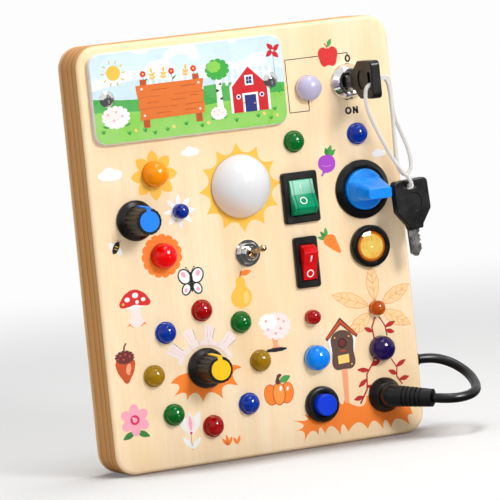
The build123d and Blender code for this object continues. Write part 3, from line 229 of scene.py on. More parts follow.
for name in ("key", "top", "side", "glint"):
    lamp = studio[name]
    data = bpy.data.lights.new(name + "Lamp", "AREA")
    data.shape = "RECTANGLE"
    data.size, data.size_y = lamp["size"]
    data.energy = lamp["power"]
    data.color = lamp.get("colour", (1, 1, 1))
    direction = (cameraAxes @ Vector(lamp["place"])).normalized()
    lampObject = addObject(name + "Lamp", data)
    lampObject.matrix_world = (
        Matrix.Translation(lampTarget + direction * lamp["distance"])
        @ direction.to_track_quat("Z", "Y").to_matrix().to_4x4()
    )
    lampObject.visible_diffuse = name != "glint"    # a window that only shows as a reflection


# gives a node's inputs their values and links
def setPorts(tree, node, ports):
    for key, value in ports.items():
        if isinstance(value, bpy.types.Node):
            value = value.outputs[0]
        if isinstance(value, bpy.types.NodeSocket):
            tree.links.new(value, node.inputs[key])
        else:
            node.inputs[key].default_value = value


# adds a shader node with its settings, values and links
def put(tree, kind, ports=None, **settings):
    node = tree.nodes.new("ShaderNode" + kind)
    for key, value in settings.items():
        setattr(node, key, value)
    setPorts(tree, node, ports or {})
    return node


# a colour written 0 to 255, as light; a share below 1 darkens it
def light(values, share=1.0):
    parts = []
    for value in values:
        value /= 255
        value = value / 12.92 if value <= 0.04045 else ((value + 0.055) / 1.055) ** 2.4
        parts.append(value * share)
    return (*parts, 1.0)


def grey(value):
    return (value, value, value, 1)


# three numbers are a colour written 0 to 255, four are light
def mixed(tree, share, first, second):
    first, second = (light(part) if isinstance(part, tuple) and len(part) == 3 else part
                     for part in (first, second))
    return put(tree, "Mix", {0: share, 6: first, 7: second}, data_type="RGBA").outputs[2]


def maths(tree, operation, first, second=0.0):
    return put(tree, "Math", {0: first, 1: second}, operation=operation).outputs[0]


def times(tree, first, second):
    return maths(tree, "MULTIPLY", first, second)


# mixes by a mask that is weakened first
def faded(tree, mask, strength, first, second):
    return mixed(tree, times(tree, mask, strength), first, second)


def spread(tree, value, low, high, newLow=0.0, newHigh=1.0, smooth=False):
    ports = {"Value": value, "From Min": low, "From Max": high, "To Min": newLow, "To Max": newHigh}
    kind = "SMOOTHSTEP" if smooth else "LINEAR"
    return put(tree, "MapRange", ports, interpolation_type=kind).outputs[0]


# noise whose patches are about size mm across
def noise(tree, vector, size, detail=3.0, roughness=0.55, stretch=(1, 1, 1), shift=(0, 0, 0)):
    scale = [1000 / size / part for part in stretch]
    mapping = put(tree, "Mapping", {"Vector": vector, "Scale": scale, "Location": shift})
    ports = {"Vector": mapping, "Scale": 1.0, "Detail": detail, "Roughness": roughness}
    return put(tree, "TexNoise", ports).outputs[0]


# the three axes of a place, from a middle (x, z) in mm where one is given
def axesOf(tree, place, middle=None):
    if middle:
        shift = (middle[0] / 1000, 0, middle[1] / 1000)
        place = put(tree, "VectorMath", {0: place, 1: shift}, operation="SUBTRACT")
    return put(tree, "SeparateXYZ", {0: place}).outputs


def newGroup(name, inputs, outputs):
    tree = bpy.data.node_groups.new(name, "ShaderNodeTree")
    for label, kind, value in inputs:
        socket = tree.interface.new_socket(name=label, in_out="INPUT", socket_type="NodeSocket" + kind)
        if value is not None:
            socket.default_value = value
    for label in outputs:
        tree.interface.new_socket(name=label, in_out="OUTPUT", socket_type="NodeSocketFloat")
    return tree, tree.nodes.new("NodeGroupInput").outputs, tree.nodes.new("NodeGroupOutput")


def use(tree, group, **ports):
    return put(tree, "Group", ports, node_tree=group).outputs


# grain of pale birch, running up the board
grainGroup, given, result = newGroup(
    "birchGrain", [("Vector", "Vector", None)], ["Streaks", "Figure", "Pores", "Height"])
broad = noise(grainGroup, given["Vector"], 9, 4, 0.6, (1, 1, 9))
fine = noise(grainGroup, given["Vector"], 1.1, 5, 0.65, (1, 1, 26), (3, 1, 0))
figure = noise(grainGroup, given["Vector"], 42, 3, 0.5, (1, 1, 2.4), (0, 7, 2))
pores = noise(grainGroup, given["Vector"], 0.5, 2, 0.5, (1, 1, 12), (9, 0, 4))
streaks = maths(grainGroup, "ADD", times(grainGroup, broad, 0.55), times(grainGroup, fine, 0.45))
setPorts(grainGroup, result, {
    "Streaks": spread(grainGroup, streaks, 0.36, 0.64),
    "Figure": spread(grainGroup, figure, 0.35, 0.68, smooth=True),
    "Pores": spread(grainGroup, pores, 0.66, 0.78), "Height": fine,
})

# finger marks, faint dust and fine scratches
wearGroup, given, result = newGroup(
    "handWear", [("Vector", "Vector", None), ("Size", "Float", 12.0)], ["Smudge", "Speckle", "Scratch"])
wearScale = maths(wearGroup, "DIVIDE", 12.0, given["Size"])
scaled = put(wearGroup, "VectorMath", {0: given["Vector"], "Scale": wearScale}, operation="SCALE").outputs[0]
smudge = noise(wearGroup, scaled, 7, 5, 0.62)
speckle = noise(wearGroup, scaled, 0.45, 2, 0.6, shift=(5, 2, 8))
scratch = noise(wearGroup, scaled, 0.5, 2, 0.5, (1, 14, 1), (2, 0, 6))
setPorts(wearGroup, result, {
    "Smudge": spread(wearGroup, smudge, 0.36, 0.66, smooth=True),
    "Speckle": spread(wearGroup, speckle, 0.58, 0.74),
    "Scratch": spread(wearGroup, scratch, 0.68, 0.76),
})

# fine texture of a moulding
mouldGroup, given, result = newGroup("mouldTexture", [("Vector", "Vector", None)], ["Height"])
cells = put(mouldGroup, "TexVoronoi", {"Vector": given["Vector"], "Scale": 2600.0}).outputs[0]
soft = noise(mouldGroup, given["Vector"], 0.35, 2)
setPorts(mouldGroup, result, {"Height": maths(mouldGroup, "ADD", times(mouldGroup, cells, 0.5), soft)})


# a new material, its place on the object and, where a size is given, its wear
def startMaterial(name, wearSize=None):
    material = bpy.data.materials.new(name)
    material.use_nodes = True
    tree = material.node_tree
    place = put(tree, "TexCoord").outputs["Object"]
    return material, tree, place, wearSize and use(tree, wearGroup, Vector=place, Size=wearSize)


# gives the material its looks; other sockets are named with _ for each space
def dress(material, shade, roughness, level=0.5, **others):
    ports = {"Base Color": shade, "Roughness": roughness, "Specular IOR Level": level}
    ports.update({key.replace("_", " "): value for key, value in others.items()})
    setPorts(material.node_tree, material.node_tree.nodes["Principled BSDF"], ports)
    return material


def bump(tree, height, strength, distance=0.0001):
    return put(tree, "Bump", {"Height": height, "Strength": strength, "Distance": distance}).outputs[0]


# roughness between clean and handled spots
def handled(tree, wear, clean, worn):
    return spread(tree, wear["Smudge"], 0, 1, clean, worn)


boardFront = -15.0      # mm, the face that the lenses stand on


# a thin dark border and painted shade where a lens meets the wood
def footBorderAndShade(tree, depth, shade, foot):
    mask = spread(tree, depth, (boardFront - 0.3) / 1000, (boardFront - 0.8) / 1000, 1.0, 0.0)
    return mixed(tree, mask, shade, foot)


# pale plywood: face veneers with soft grain, plies and glue lines on the edges
def plywood(name, face, figure, streak, core, glue, layers):
    material, tree, place, wear = startMaterial(name, 30.0)
    grain = use(tree, grainGroup, Vector=place)
    depth = axesOf(tree, place)[1]
    wobble = noise(tree, place, 24, 2, 0.5, (1, 1, 2))
    depth = maths(tree, "ADD", depth, times(tree, maths(tree, "SUBTRACT", wobble, 0.5), 0.0007))
    level = spread(tree, depth, -boardFront / 1000, boardFront / 1000)
    veneer = mixed(tree, grain["Figure"], face, figure)
    veneer = faded(tree, grain["Streaks"], 0.62, veneer, streak)
    veneer = faded(tree, grain["Pores"], 0.22, veneer, core)
    ply = put(tree, "ValToRGB", {0: level})
    plyMask = put(tree, "ValToRGB", {0: level})
    for ramp in (ply, plyMask):
        elements = ramp.color_ramp.elements
        for index, (start, tint, share) in enumerate(layers):
            element = elements[index] if index < 2 else elements.new(start)
            element.position = start
            element.color = light(tint) if ramp == ply else grey(share)
    endGrain = noise(tree, place, 0.55, 3, 0.6)
    edge = mixed(tree, spread(tree, endGrain, 0.35, 0.7, 0.0, 0.35), ply.outputs[0], glue)
    edge = faded(tree, grain["Streaks"], 0.35, edge, core)
    shade = mixed(tree, plyMask.outputs[0], veneer, edge)
    shade = faded(tree, wear["Smudge"], 0.05, shade, core)
    return dress(material, shade, handled(tree, wear, 0.58, 0.50), 0.16,
                 Normal=bump(tree, grain["Height"], 0.10, 0.00012))


# moulded plastic with a fine texture, hand marks and a little dust
def plastic(name, base, roughness, texture, second=None, level=0.4, dust=0.03):
    material, tree, place, wear = startMaterial(name, 14.0)
    mould = use(tree, mouldGroup, Vector=place)
    shade = faded(tree, wear["Smudge"], 0.35, base, second or light(base, 0.82))
    shade = faded(tree, wear["Speckle"], dust, shade, (205, 200, 190))
    return dress(material, shade, handled(tree, wear, roughness * 0.85, roughness * 1.2), level,
                 Normal=bump(tree, mould[0], texture, 0.00006))


# bare or plated metal with fine scratches and finger marks
def metal(name, base, roughness, second, brushed=0.0):
    material, tree, place, wear = startMaterial(name, 8.0)
    shade = faded(tree, wear["Smudge"], 0.5, base, second)
    rough = handled(tree, wear, roughness * 0.8, roughness * 1.5)
    rough = maths(tree, "ADD", rough, times(tree, wear["Scratch"], 0.10))
    others = dict(Metallic=1.0)
    if brushed:
        stroke = noise(tree, place, 0.25, 3, 0.6, (1, 14, 14))
        others["Normal"] = bump(tree, maths(tree, "ADD", stroke, wear["Scratch"]), brushed, 0.00003)
    return dress(material, shade, rough, **others)


# glossy opal plastic: paler at its collar, with a thin dark border and painted shade where it meets the wood
def milkyLens(name, base, rim, foot, reach=0.003, paintedWoodBounce=None):
    material, tree, place, wear = startMaterial(name, 10.0)
    depth = axesOf(tree, place)[1]
    collar = spread(tree, depth, boardFront / 1000 - reach, (boardFront - 0.6) / 1000 - reach, 1.0, 0.0)
    shade = mixed(tree, collar, base, rim)
    if paintedWoodBounce:    # painted light bounced from the wood: the wood's warm colour painted on the lower left of the dome
        axes = axesOf(tree, place, paintedWoodBounce[:2])
        low = maths(tree, "ADD", times(tree, axes[0], -0.45), times(tree, axes[2], -0.89))
        shade = mixed(tree, spread(tree, low, 0.006, 0.0165, 0.0, 0.5, smooth=True), shade, paintedWoodBounce[2])
    # thin dark border and painted shade at the lens's foot
    shade = footBorderAndShade(tree, depth, shade, foot)
    shade = faded(tree, wear["Speckle"], 0.02, shade, (210, 204, 196))
    return dress(material, shade, handled(tree, wear, 0.09, 0.12), 0.26)


# clear tinted plastic: paler at its collar, deeper in its dome, with a thin dark border and painted shade
# where it meets the wood
def clearLens(name, base, deep, transmission=0.1, collar=1.4):
    material, tree, place, wear = startMaterial(name, 7.0)
    swirl = noise(tree, place, 9, 2, 0.5)
    depth = axesOf(tree, place)[1]
    rim = (boardFront - collar) / 1000
    shade = mixed(tree, spread(tree, swirl, 0.3, 0.75, 0.0, 0.5), deep, base)
    shade = mixed(tree, spread(tree, depth, rim - 0.0002, rim + 0.0001), shade, base)
    # thin dark border and painted shade at the lens's foot, in a darkened copy of the deep colour
    shade = footBorderAndShade(tree, depth, shade, light(deep, 0.25))
    return dress(material, shade, handled(tree, wear, 0.03, 0.08), 0.26,
                 Transmission_Weight=transmission, IOR=1.49)


# moulded blue knob, cross hatched above its handle
def hatchedKnob(name, base, middle):
    material, tree, place, wear = startMaterial(name, 14.0)
    axes = axesOf(tree, place, middle)
    grooves = []
    for way in (1, -1):
        slant = maths(tree, "ADD", axes[0], times(tree, axes[2], way))
        grooves.append(maths(tree, "SINE", times(tree, slant, 2000 * pi / 2.3)))     # one each 2.3 mm
    hatch = maths(tree, "MAXIMUM", *grooves)
    above = maths(tree, "GREATER_THAN", axes[2], 0.0048)
    relief = times(tree, hatch, above)
    shade = faded(tree, wear["Smudge"], 0.3, base, light(base, 0.8))
    shade = mixed(tree, spread(tree, relief, 0.2, 1.0, 0.0, 0.6), shade, (60, 176, 255))
    return dress(material, shade, handled(tree, wear, 0.24, 0.34), 0.26,
                 Normal=bump(tree, relief, 0.35, 0.0002))


# clear green rocker: a pale painted reflection slanting across its upper half, dark walls along its sides
def rockerLens(name, base, pale, edge, middle):
    material, tree, place, wear = startMaterial(name, 7.0)
    axes = axesOf(tree, place, middle)
    slant = maths(tree, "ADD", axes[2], times(tree, axes[0], -0.7))
    # painted reflection: a pale sheen painted across the upper half
    shade = mixed(tree, spread(tree, slant, -0.003, 0.010, 0.0, 0.5, smooth=True), base, pale)
    side = maths(tree, "ABSOLUTE", axes[0])
    wall = spread(tree, side, 0.0051, 0.0054)
    wall = times(tree, wall, spread(tree, side, 0.0060, 0.0063, 1.0, 0.0))
    shade = faded(tree, wall, 0.7, shade, edge)
    return dress(material, shade, handled(tree, wear, 0.06, 0.12), 0.08,
                 Transmission_Weight=0.08, IOR=1.49)


# amber push lens: a yellow disc with a painted highlight brightest at its middle, inside a darker ring, with
# one fine line
def pushLens(name, middle, paintedHighlightYellow, rim, edge):
    material, tree, place, wear = startMaterial(name, 7.0)
    axes = axesOf(tree, place, middle)
    flat = put(tree, "CombineXYZ", {0: axes[0], 2: axes[2]})
    reach = put(tree, "VectorMath", {0: flat}, operation="LENGTH").outputs[1]
    ripple = noise(tree, place, 2.2, 3, 0.6)
    glow = mixed(tree, spread(tree, ripple, 0.35, 0.7), paintedHighlightYellow, rim)
    # painted highlight: the disc is painted brightest at its middle
    shade = mixed(tree, spread(tree, reach, 0.0, 0.0060, 0.15, 0.75, smooth=True), paintedHighlightYellow, glow)
    shade = mixed(tree, spread(tree, reach, 0.0071, 0.0075), shade, edge)
    shade = mixed(tree, spread(tree, reach, 0.0080, 0.0089, 0.0, 0.75), shade, (110, 44, 4))
    fine = maths(tree, "LESS_THAN", maths(tree, "ABSOLUTE", axes[0]), 0.00012)
    fine = times(tree, fine, maths(tree, "GREATER_THAN", axes[2], 0.0028))
    fine = times(tree, fine, maths(tree, "LESS_THAN", reach, 0.0071))
    shade = faded(tree, fine, 0.8, shade, (120, 70, 10))
    return dress(material, shade, handled(tree, wear, 0.05, 0.12), 0.5,
                 Transmission_Weight=0.12, IOR=1.49, Normal=bump(tree, ripple, 0.03, 0.0002))


chromed = metal("chromePlate", (224, 223, 222), 0.06, (204, 203, 203))
steel = metal("bareSteel", (140, 136, 132), 0.28, (96, 92, 90), brushed=0.05)
agedBrass = metal("agedBrass", (196, 168, 128), 0.16, (150, 120, 84), brushed=0.05)
blackSatin = plastic("blackSatin", (14, 14, 15), 0.34, 0.08, (9, 9, 10), level=0.26, dust=0.02)
blackGloss = plastic("blackGloss", (12, 12, 13), 0.22, 0.03, (8, 8, 9), level=0.3, dust=0.01)
knobBlack = plastic("knobBlack", (20, 16, 14), 0.32, 0.0, (13, 11, 10), level=0.3, dust=0.01)
plywoodFinish = plywood(
    "birchPlywood", (255, 234, 201), (253, 223, 180), (247, 213, 166), (218, 170, 114), (154, 92, 40),
    layers=[  # level from the back, colour, how much it shows
        (0.00, (232, 180, 112), 0.0), (0.06, (228, 172, 102), 0.35), (0.22, (220, 160, 86), 1.0),
        (0.24, (150, 88, 34), 1.0), (0.265, (206, 140, 68), 1.0), (0.49, (222, 162, 90), 1.0),
        (0.515, (146, 84, 32), 1.0), (0.545, (208, 144, 72), 1.0), (0.71, (220, 160, 86), 1.0),
        (0.74, (144, 82, 32), 1.0), (0.765, (210, 148, 76), 1.0), (0.91, (224, 168, 96), 1.0),
        (0.93, (180, 118, 58), 1.0), (0.95, (244, 202, 138), 0.5), (0.985, (253, 226, 182), 0.0),
    ])
panelFinish = plywood(
    "backPanelVeneer", (243, 213, 165), (236, 200, 150), (226, 186, 134), (206, 158, 106),
    (168, 116, 68), layers=[(0.0, (236, 200, 150), 0.0), (1.0, (236, 200, 150), 0.0)])

finishes = dict(
    body_shell=plywoodFinish, back_panel=panelFinish,
    # the white dome has painted light bounced from the wood on its lower left
    white_dome_lamp=milkyLens("opalWhite", (226, 226, 229), (226, 224, 222), (140, 96, 66), 0.0008,
                              (-4.9, 159.2, (244, 196, 150))),
    orange_dome_lamp=milkyLens("milkyOrange", (255, 146, 0), (250, 136, 0), (110, 44, 6)),
    red_dome_lamp=milkyLens("milkyRed", (238, 0, 2), (218, 2, 2), (90, 10, 8)),
    lilac_dome_lamp=milkyLens("milkyLilac", (190, 184, 214), (214, 198, 210), (110, 84, 80)),
    sky_blue_dome_lamp=milkyLens("milkySky", (0, 134, 250), (96, 160, 214), (10, 40, 90)),
    purple_dome_lamp=clearLens("clearPurple", (66, 38, 78), (24, 2, 84), collar=3.0),
    small_blue_lamp=clearLens("clearNavy", (14, 66, 204), (6, 26, 128), collar=3.4),
    small_red_lamp=clearLens("clearCrimson", (196, 18, 20), (168, 4, 10), collar=3.4),
    small_amber_lamp=clearLens("clearAmber", (224, 110, 8), (190, 74, 0), collar=3.4),
    red_indicator_lamps=clearLens("clearRed", (206, 6, 10), (152, 0, 2)),
    green_indicator_lamps=clearLens("clearGreen", (0, 132, 48), (0, 98, 26)),
    blue_indicator_lamps=clearLens("clearBlue", (4, 72, 204), (0, 42, 150)),
    yellow_indicator_lamps=clearLens("clearYellow", (186, 146, 10), (158, 116, 0)),
    selector_knob=hatchedKnob("selectorBlue", (0, 140, 250), (73.15, 148.3)),
    dimmer_cap=plastic("capBlue", (20, 134, 246), 0.46, 0.08, level=0.14),
    rotary_cap=plastic("capYellow", (255, 200, 16), 0.46, 0.08, level=0.14),
    green_rocker_paddle=rockerLens("rockerGreen", (6, 150, 104), (136, 226, 196), (4, 92, 66), (32.3, 148.3)),
    red_rocker_paddle=plastic("rockerRed", (220, 8, 14), 0.16, 0.02, level=0.34),
    amber_button_lens=pushLens("amberPush", (74.3, 114.2), (255, 222, 112), (252, 172, 36), (226, 116, 6)),
    blue_button_cap=plastic("pushBlue", (0, 58, 222), 0.40, 0.04, level=0.12),
    circuit_board=plastic("circuitGreen", (22, 92, 52), 0.35, 0.05, (14, 66, 38)),
    lamp_leds=clearLens("ledClear", (244, 244, 236), (230, 232, 226), 0.5),
    batteries=plastic("cellSleeve", (60, 110, 80), 0.3, 0.03),
)
for material, names in (
        (chromed, "name_plate_screws key_switch_housing key_rotor switch_nuts toggle_housing"),
        (steel, "back_panel_screws key_blade spare_key_blade dimmer_body dimmer_shaft rotary_body"
                " rotary_shaft amber_button_spring blue_button_spring door_screw"),
        (agedBrass, "toggle_lever circuit_board_standoffs"), (knobBlack, "dimmer_knob rotary_knob"),
        (blackGloss, "selector_housing amber_button_housing"),
        (blackSatin, "key_bow spare_key_bow green_rocker_frame red_rocker_frame blue_button_housing"
                     " cable_socket plug cable_gland battery_box battery_door")):
    for nodeName in names.split():
        finishes[nodeName] = material


def coat(nodeName, material):
    nodes[nodeName].data.materials.clear()
    nodes[nodeName].data.materials.append(material)


for nodeName, material in finishes.items():
    coat(nodeName, material)
print("busy board: finishes", len(finishes))

# cords get theirs
rubber = plastic("cableRubber", (13, 13, 14), 0.36, 0.06, (9, 9, 10), level=0.28, dust=0.01)
flexCable.data.materials.append(rubber)
fibre, tree, place, wear = startMaterial("stringFibre", 14.0)
thread = noise(tree, place, 0.22, 3, 0.6)
shade = mixed(tree, spread(tree, thread, 0.3, 0.75), (240, 237, 234), (196, 190, 184))
shade = faded(tree, wear["Smudge"], 0.25, shade, (222, 217, 208))
dress(fibre, shade, spread(tree, thread, 0.2, 0.8, 0.7, 0.9), Sheen_Weight=0.25,
      Normal=bump(tree, thread, 0.6, 0.00015))
keyString.data.materials.append(fibre)
coat("string_knot", fibre)
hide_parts("plug_cable")
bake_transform(flexCable)
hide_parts("key_string")
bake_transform(keyString)

# floor and world
floorShape = bmesh.new()
bmesh.ops.create_grid(floorShape, x_segments=1, y_segments=1, size=studio["floorSize"] / 2)
floorMesh = bpy.data.meshes.new("floor")
floorShape.to_mesh(floorMesh)
floorShape.free()
floor = addObject("floor", floorMesh)


# the kinds of ray, and where one comes by a mirror or through glass
def seenIn(tree):
    rays = put(tree, "LightPath").outputs
    return rays, maths(tree, "MAXIMUM", rays["Is Glossy Ray"], rays["Is Transmission Ray"])


material, tree, place = startMaterial("paleFloor")[:3]
# painted shadow at the board's foot: the floor's colour darkens with ambient occlusion close to the board
paintedFootShadow = studio["paintedFootShadow"]
near = put(tree, "AmbientOcclusion", {"Distance": paintedFootShadow["reach"]}, samples=8).outputs["AO"]
clear = spread(tree, near, paintedFootShadow["dark"], paintedFootShadow["clear"])
shade = mixed(tree, clear, paintedFootShadow["tint"], grey(studio["floorShade"]))
dress(material, shade, 0.9, level=0.0)
rays, mirrored = seenIn(tree)
seen = maths(tree, "MAXIMUM", rays["Is Camera Ray"], mirrored)
glow = put(tree, "Emission", {"Color": grey(1), "Strength": times(tree, seen, studio["floorGlow"])})
both = put(tree, "AddShader", {0: tree.nodes["Principled BSDF"], 1: glow})
reach = put(tree, "VectorMath", {0: place}, operation="LENGTH").outputs[1]
far = maths(tree, "ADD",
            times(tree, spread(tree, reach, *studio["floorFar"], smooth=True), rays["Is Camera Ray"]),
            times(tree, spread(tree, reach, *studio["mirrorFar"], smooth=True), mirrored))
distant = mixed(tree, mirrored, grey(studio["white"]), grey(studio["mirrorLow"]))
backdrop = put(tree, "Emission", {"Color": distant, "Strength": 1.0})
whole = put(tree, "MixShader", {0: far, 1: both, 2: backdrop})
tree.links.new(whole.outputs[0], tree.nodes["Material Output"].inputs["Surface"])
floor.data.materials.append(material)

world = bpy.data.worlds.new("studio")
scene.world = world
world.use_nodes = True
tree = world.node_tree
direction = put(tree, "TexCoord").outputs["Generated"]
ahead = put(tree, "VectorMath", {0: direction, 1: studio["mirrorAhead"]}, operation="DOT_PRODUCT").outputs[1]
behind = spread(tree, ahead, *studio["mirrorCone"], studio["mirrorLow"], studio["mirrorHigh"], smooth=True)
rays, mirrored = seenIn(tree)
strength = mixed(tree, mirrored, grey(studio["sky"]), behind)
strength = mixed(tree, rays["Is Camera Ray"], strength, grey(studio["white"]))
setPorts(tree, tree.nodes["Background"], {"Strength": strength, "Color": grey(1)})
scene.view_settings.view_transform = "Standard"
print("busy board: studio ready")

# prints
inkColours = dict(
    white=(250, 248, 246), blush=(250, 234, 231), sun=(255, 196, 75), honey=(255, 214, 120),
    orange=(255, 136, 48), rust=(206, 84, 40), red=(222, 44, 44), maroon=(112, 50, 50), brown=(100, 74, 64),
    pink=(250, 172, 192), crimson=(224, 52, 100), leaf=(76, 160, 78), moss=(58, 134, 62),
    violet=(172, 72, 200), black=(34, 34, 40), salmon=(253, 168, 126), lineOrange=(250, 156, 66),
    lineRed=(188, 44, 40), grey=(170, 168, 172), meadow=(140, 208, 82), grass=(62, 172, 66),
    roof=(206, 26, 36), navy=(38, 46, 120), plank=(226, 116, 44), plankDark=(190, 78, 30),
    cloud=(244, 249, 252), wheat=(250, 214, 160),
)
inkLayer = dict(thick=0.10, sunk=0.04, step=0.012)     # mm


def inkMaterial(name, base):
    material, tree, place = startMaterial("ink" + name.capitalize())[:3]
    grain = use(tree, grainGroup, Vector=place)
    dots = noise(tree, place, 0.3, 2)
    shade = faded(tree, grain["Streaks"], 0.10, base, light(base, 0.86))
    shade = mixed(tree, spread(tree, dots, 0.62, 0.8, 0.0, 0.10), shade, (252, 240, 222))
    return dress(material, shade, spread(tree, dots, 0.3, 0.7, 0.50, 0.60), 0.12,
                 Normal=bump(tree, grain["Height"], 0.06))


inkNames = list(inkColours)
inks = [inkMaterial(name, base) for name, base in inkColours.items()]


# a flat closed shape, drawn in mm, from one or more outlines
def loopsToMesh(loops, smooth=False):
    data = bpy.data.curves.new("outline", "CURVE")
    data.dimensions = "2D"
    data.fill_mode = "BOTH"
    data.extrude = inkLayer["thick"] / 2
    data.resolution_u = 5
    for loop in loops:
        spline = data.splines.new("BEZIER" if smooth else "POLY")
        points = spline.bezier_points if smooth else spline.points
        points.add(len(loop) - 1)
        for point, place in zip(points, loop):
            point.co = (*place, 0) if smooth else (*place, 0, 1)
            if smooth:
                point.handle_left_type = point.handle_right_type = "AUTO"
        spline.use_cyclic_u = True
    return meshOf(addObject("outline", data), "outline")


# a step from a start, at an angle in degrees
def polar(reach, angle, start=(0, 0)):
    return (start[0] + reach * cos(radians(angle)), start[1] + reach * sin(radians(angle)))


# points (along, across) turned by a tilt and set down at x, y
def turned(points, x, y, tilt):
    lean = radians(tilt)
    return [(x + a * cos(lean) - b * sin(lean), y + a * sin(lean) + b * cos(lean)) for a, b in points]


def circle(x, y, rx, ry=None, tilt=0, count=20):
    ry = rx if ry is None else ry
    angles = [2 * pi * index / count for index in range(count)]
    return turned([(rx * cos(angle), ry * sin(angle)) for angle in angles], x, y, tilt)


# outline round a centre; sizeAt gives its width and height at each share of a bump
def roundOutline(x, y, count, steps, start, sizeAt):
    points = []
    for index in range(count * steps):
        share = index % steps / steps
        angle = 2 * pi * (index // steps + share) / count + start
        wide, tall = sizeAt(share)
        points.append((x + wide * cos(angle), y + tall * sin(angle)))
    return points


# small round bumps, such as a cloud or a flower
def scallops(x, y, rx, ry, count, bulge=0.16):
    def sizeAt(share):
        swell = 1 - bulge * (1 - (1 - (2 * share - 1) ** 2) ** 0.5)
        return rx * swell, ry * swell
    return roundOutline(x, y, count, 8, 0, sizeAt)


# pointed tips with a hollow curve between each two
def spikes(x, y, outer, inner, count, dip):
    return roundOutline(x, y, count, 10, 0, lambda share: (
        inner + (outer - inner) * (abs(2 * share - 1) ** dip),) * 2)


# long pointed petals
def petals(x, y, outer, inner, count, fat):
    return roundOutline(x, y, count, 10, pi / 8, lambda share: (
        inner + (outer - inner) * (1 - abs(2 * share - 1)) ** fat,) * 2)


# outline of (tip, valley) pairs, hollow between each two tips
def flames(*tips):
    points = []
    for index, (tip, valley) in enumerate(tips):
        after = tips[(index + 1) % len(tips)][0]
        pull = (2 * valley[0] - (tip[0] + after[0]) / 2, 2 * valley[1] - (tip[1] + after[1]) / 2)
        for part in range(7):
            s = part / 7
            points.append(tuple((1 - s) ** 2 * a + 2 * s * (1 - s) * b + s * s * c
                                for a, b, c in zip(tip, pull, after)))
    return points


# pointed leaf outline from its foot
def leafShape(x, y, length, width, tilt, bend=0.0):
    half = ((0, 0), (0.25, 0.38), (0.55, 0.5), (0.82, 0.28), (1, 0))
    outline = half + tuple((along, -across) for along, across in half[3:0:-1])
    points = [(along * length, across * width + bend * along * along) for along, across in outline]
    return turned(points, x, y, tilt)


# adds the mirror image about x = 0, so that an outline closes
def twin(*half):
    return [*half, *((-x, y) for x, y in reversed(half) if x)]


# lists of shapes: (ink, kind, values of the kind)
def many(ink, kind, *rows):
    return [(ink, kind, *row) for row in rows]


def ovals(ink, *rows):
    return many(ink, "oval", *rows)


def lines(ink, wide, *paths):
    return [(ink, "line", wide, path) for path in paths]


def leaves(ink, *rows):
    return many(ink, "smooth", *(leafShape(*row) for row in rows))


def shapeMesh(kind, values):
    if kind == "oval":
        return loopsToMesh([circle(*values)])
    if kind == "ring":
        x, y, outer, inner, tall = values
        return loopsToMesh([circle(x, y, outer, outer * tall, count=32),
                            circle(x, y, inner, outer * tall - (outer - inner), count=32)])
    if kind == "puff":
        return loopsToMesh([scallops(*values)])
    if kind == "hoop":      # spiked or scalloped ring round a round hole
        return loopsToMesh(values)
    if kind == "line":
        width, points = values
        mesh = meshOf(curveThrough([(x, y, 0) for x, y in points], radius=width / 2, sides=1), "stroke")
        mesh.transform(Matrix.Diagonal((1, 1, inkLayer["thick"] / width, 1)))
        return mesh
    return loopsToMesh([values], kind == "smooth")


# adds inked shapes to a bmesh; each lies just over the one before it
def printShapes(target, shapes, at=(0, 0), size=1.0, base=0, tilt=0):
    turnIn = Matrix.Rotation(radians(tilt), 4, "Z")
    for index, (ink, kind, *values) in enumerate(shapes):
        mesh = shapeMesh(kind, values)
        rise = inkLayer["thick"] / 2 - inkLayer["sunk"] + (base + index) * inkLayer["step"]
        mesh.transform(Matrix.Translation((*at, rise)) @ turnIn @ Matrix.Diagonal((size, size, 1, 1)))
        mesh.polygons.foreach_set("material_index", [inkNames.index(ink)] * len(mesh.polygons))
        target.from_mesh(mesh)
        bpy.data.meshes.remove(mesh)


# turns the drawn shapes to face forward, at their place
def finishPrint(name, shape, place, body):
    mesh = closedMesh(shape, name, gap=1e-5, smooth=False)
    mesh.transform(place @ Matrix.Scale(0.001, 4))
    piece = addObject(name, mesh)
    for ink in inks:
        mesh.materials.append(ink)
    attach(piece, body)


# place on the front: drawn X stays X, drawn Y goes up, drawn Z comes out
def facing(x=0.0, z=0.0, out=0.0):
    return Matrix.Translation(mm(x, boardFront - out, z)) @ Matrix.Rotation(pi / 2, 4, "X")


cloudSmall = ovals("white", (-3.6, 0.2, 2.6, 1.9), (-0.6, 1.2, 3.2, 2.7), (2.8, 0.4, 2.9, 2.2),
                   (0.2, -0.9, 5.2, 1.4))
apple = [
    ("red", "smooth", *twin((0, 3.9), (2.6, 5), (5.3, 3.2), (5.2, -1), (2.9, -5.2), (0, -4.6))),
    *lines("red", 0.55, [(0.2, 3.8), (-0.5, 5.8), (-1.6, 7)]), *leaves("leaf", (0.2, 5, 4.6, 2.3, 60)),
]
beet = [
    *leaves("leaf", (0.8, 3.2, 6.4, 2.8, 68)), *leaves("moss", (1.2, 3.6, 4.6, 2.4, 104)),
    *leaves("leaf", (0.8, 3.2, 5.8, 2.4, 38)),
    ("violet", "smooth", (0, 4.6), (3.3, 3.7), (4.7, 0.6), (3.4, -2.8), (0.2, -4.2), (-1.6, -4.2),
     (-3.4, -5.6), (-2.6, -3.4), (-4.4, -1), (-4.4, 1.8), (-3, 3.8)),
    *lines("pink", 0.35, [(-2.6, -0.4), (0, -1), (2.4, -0.6)]),
]
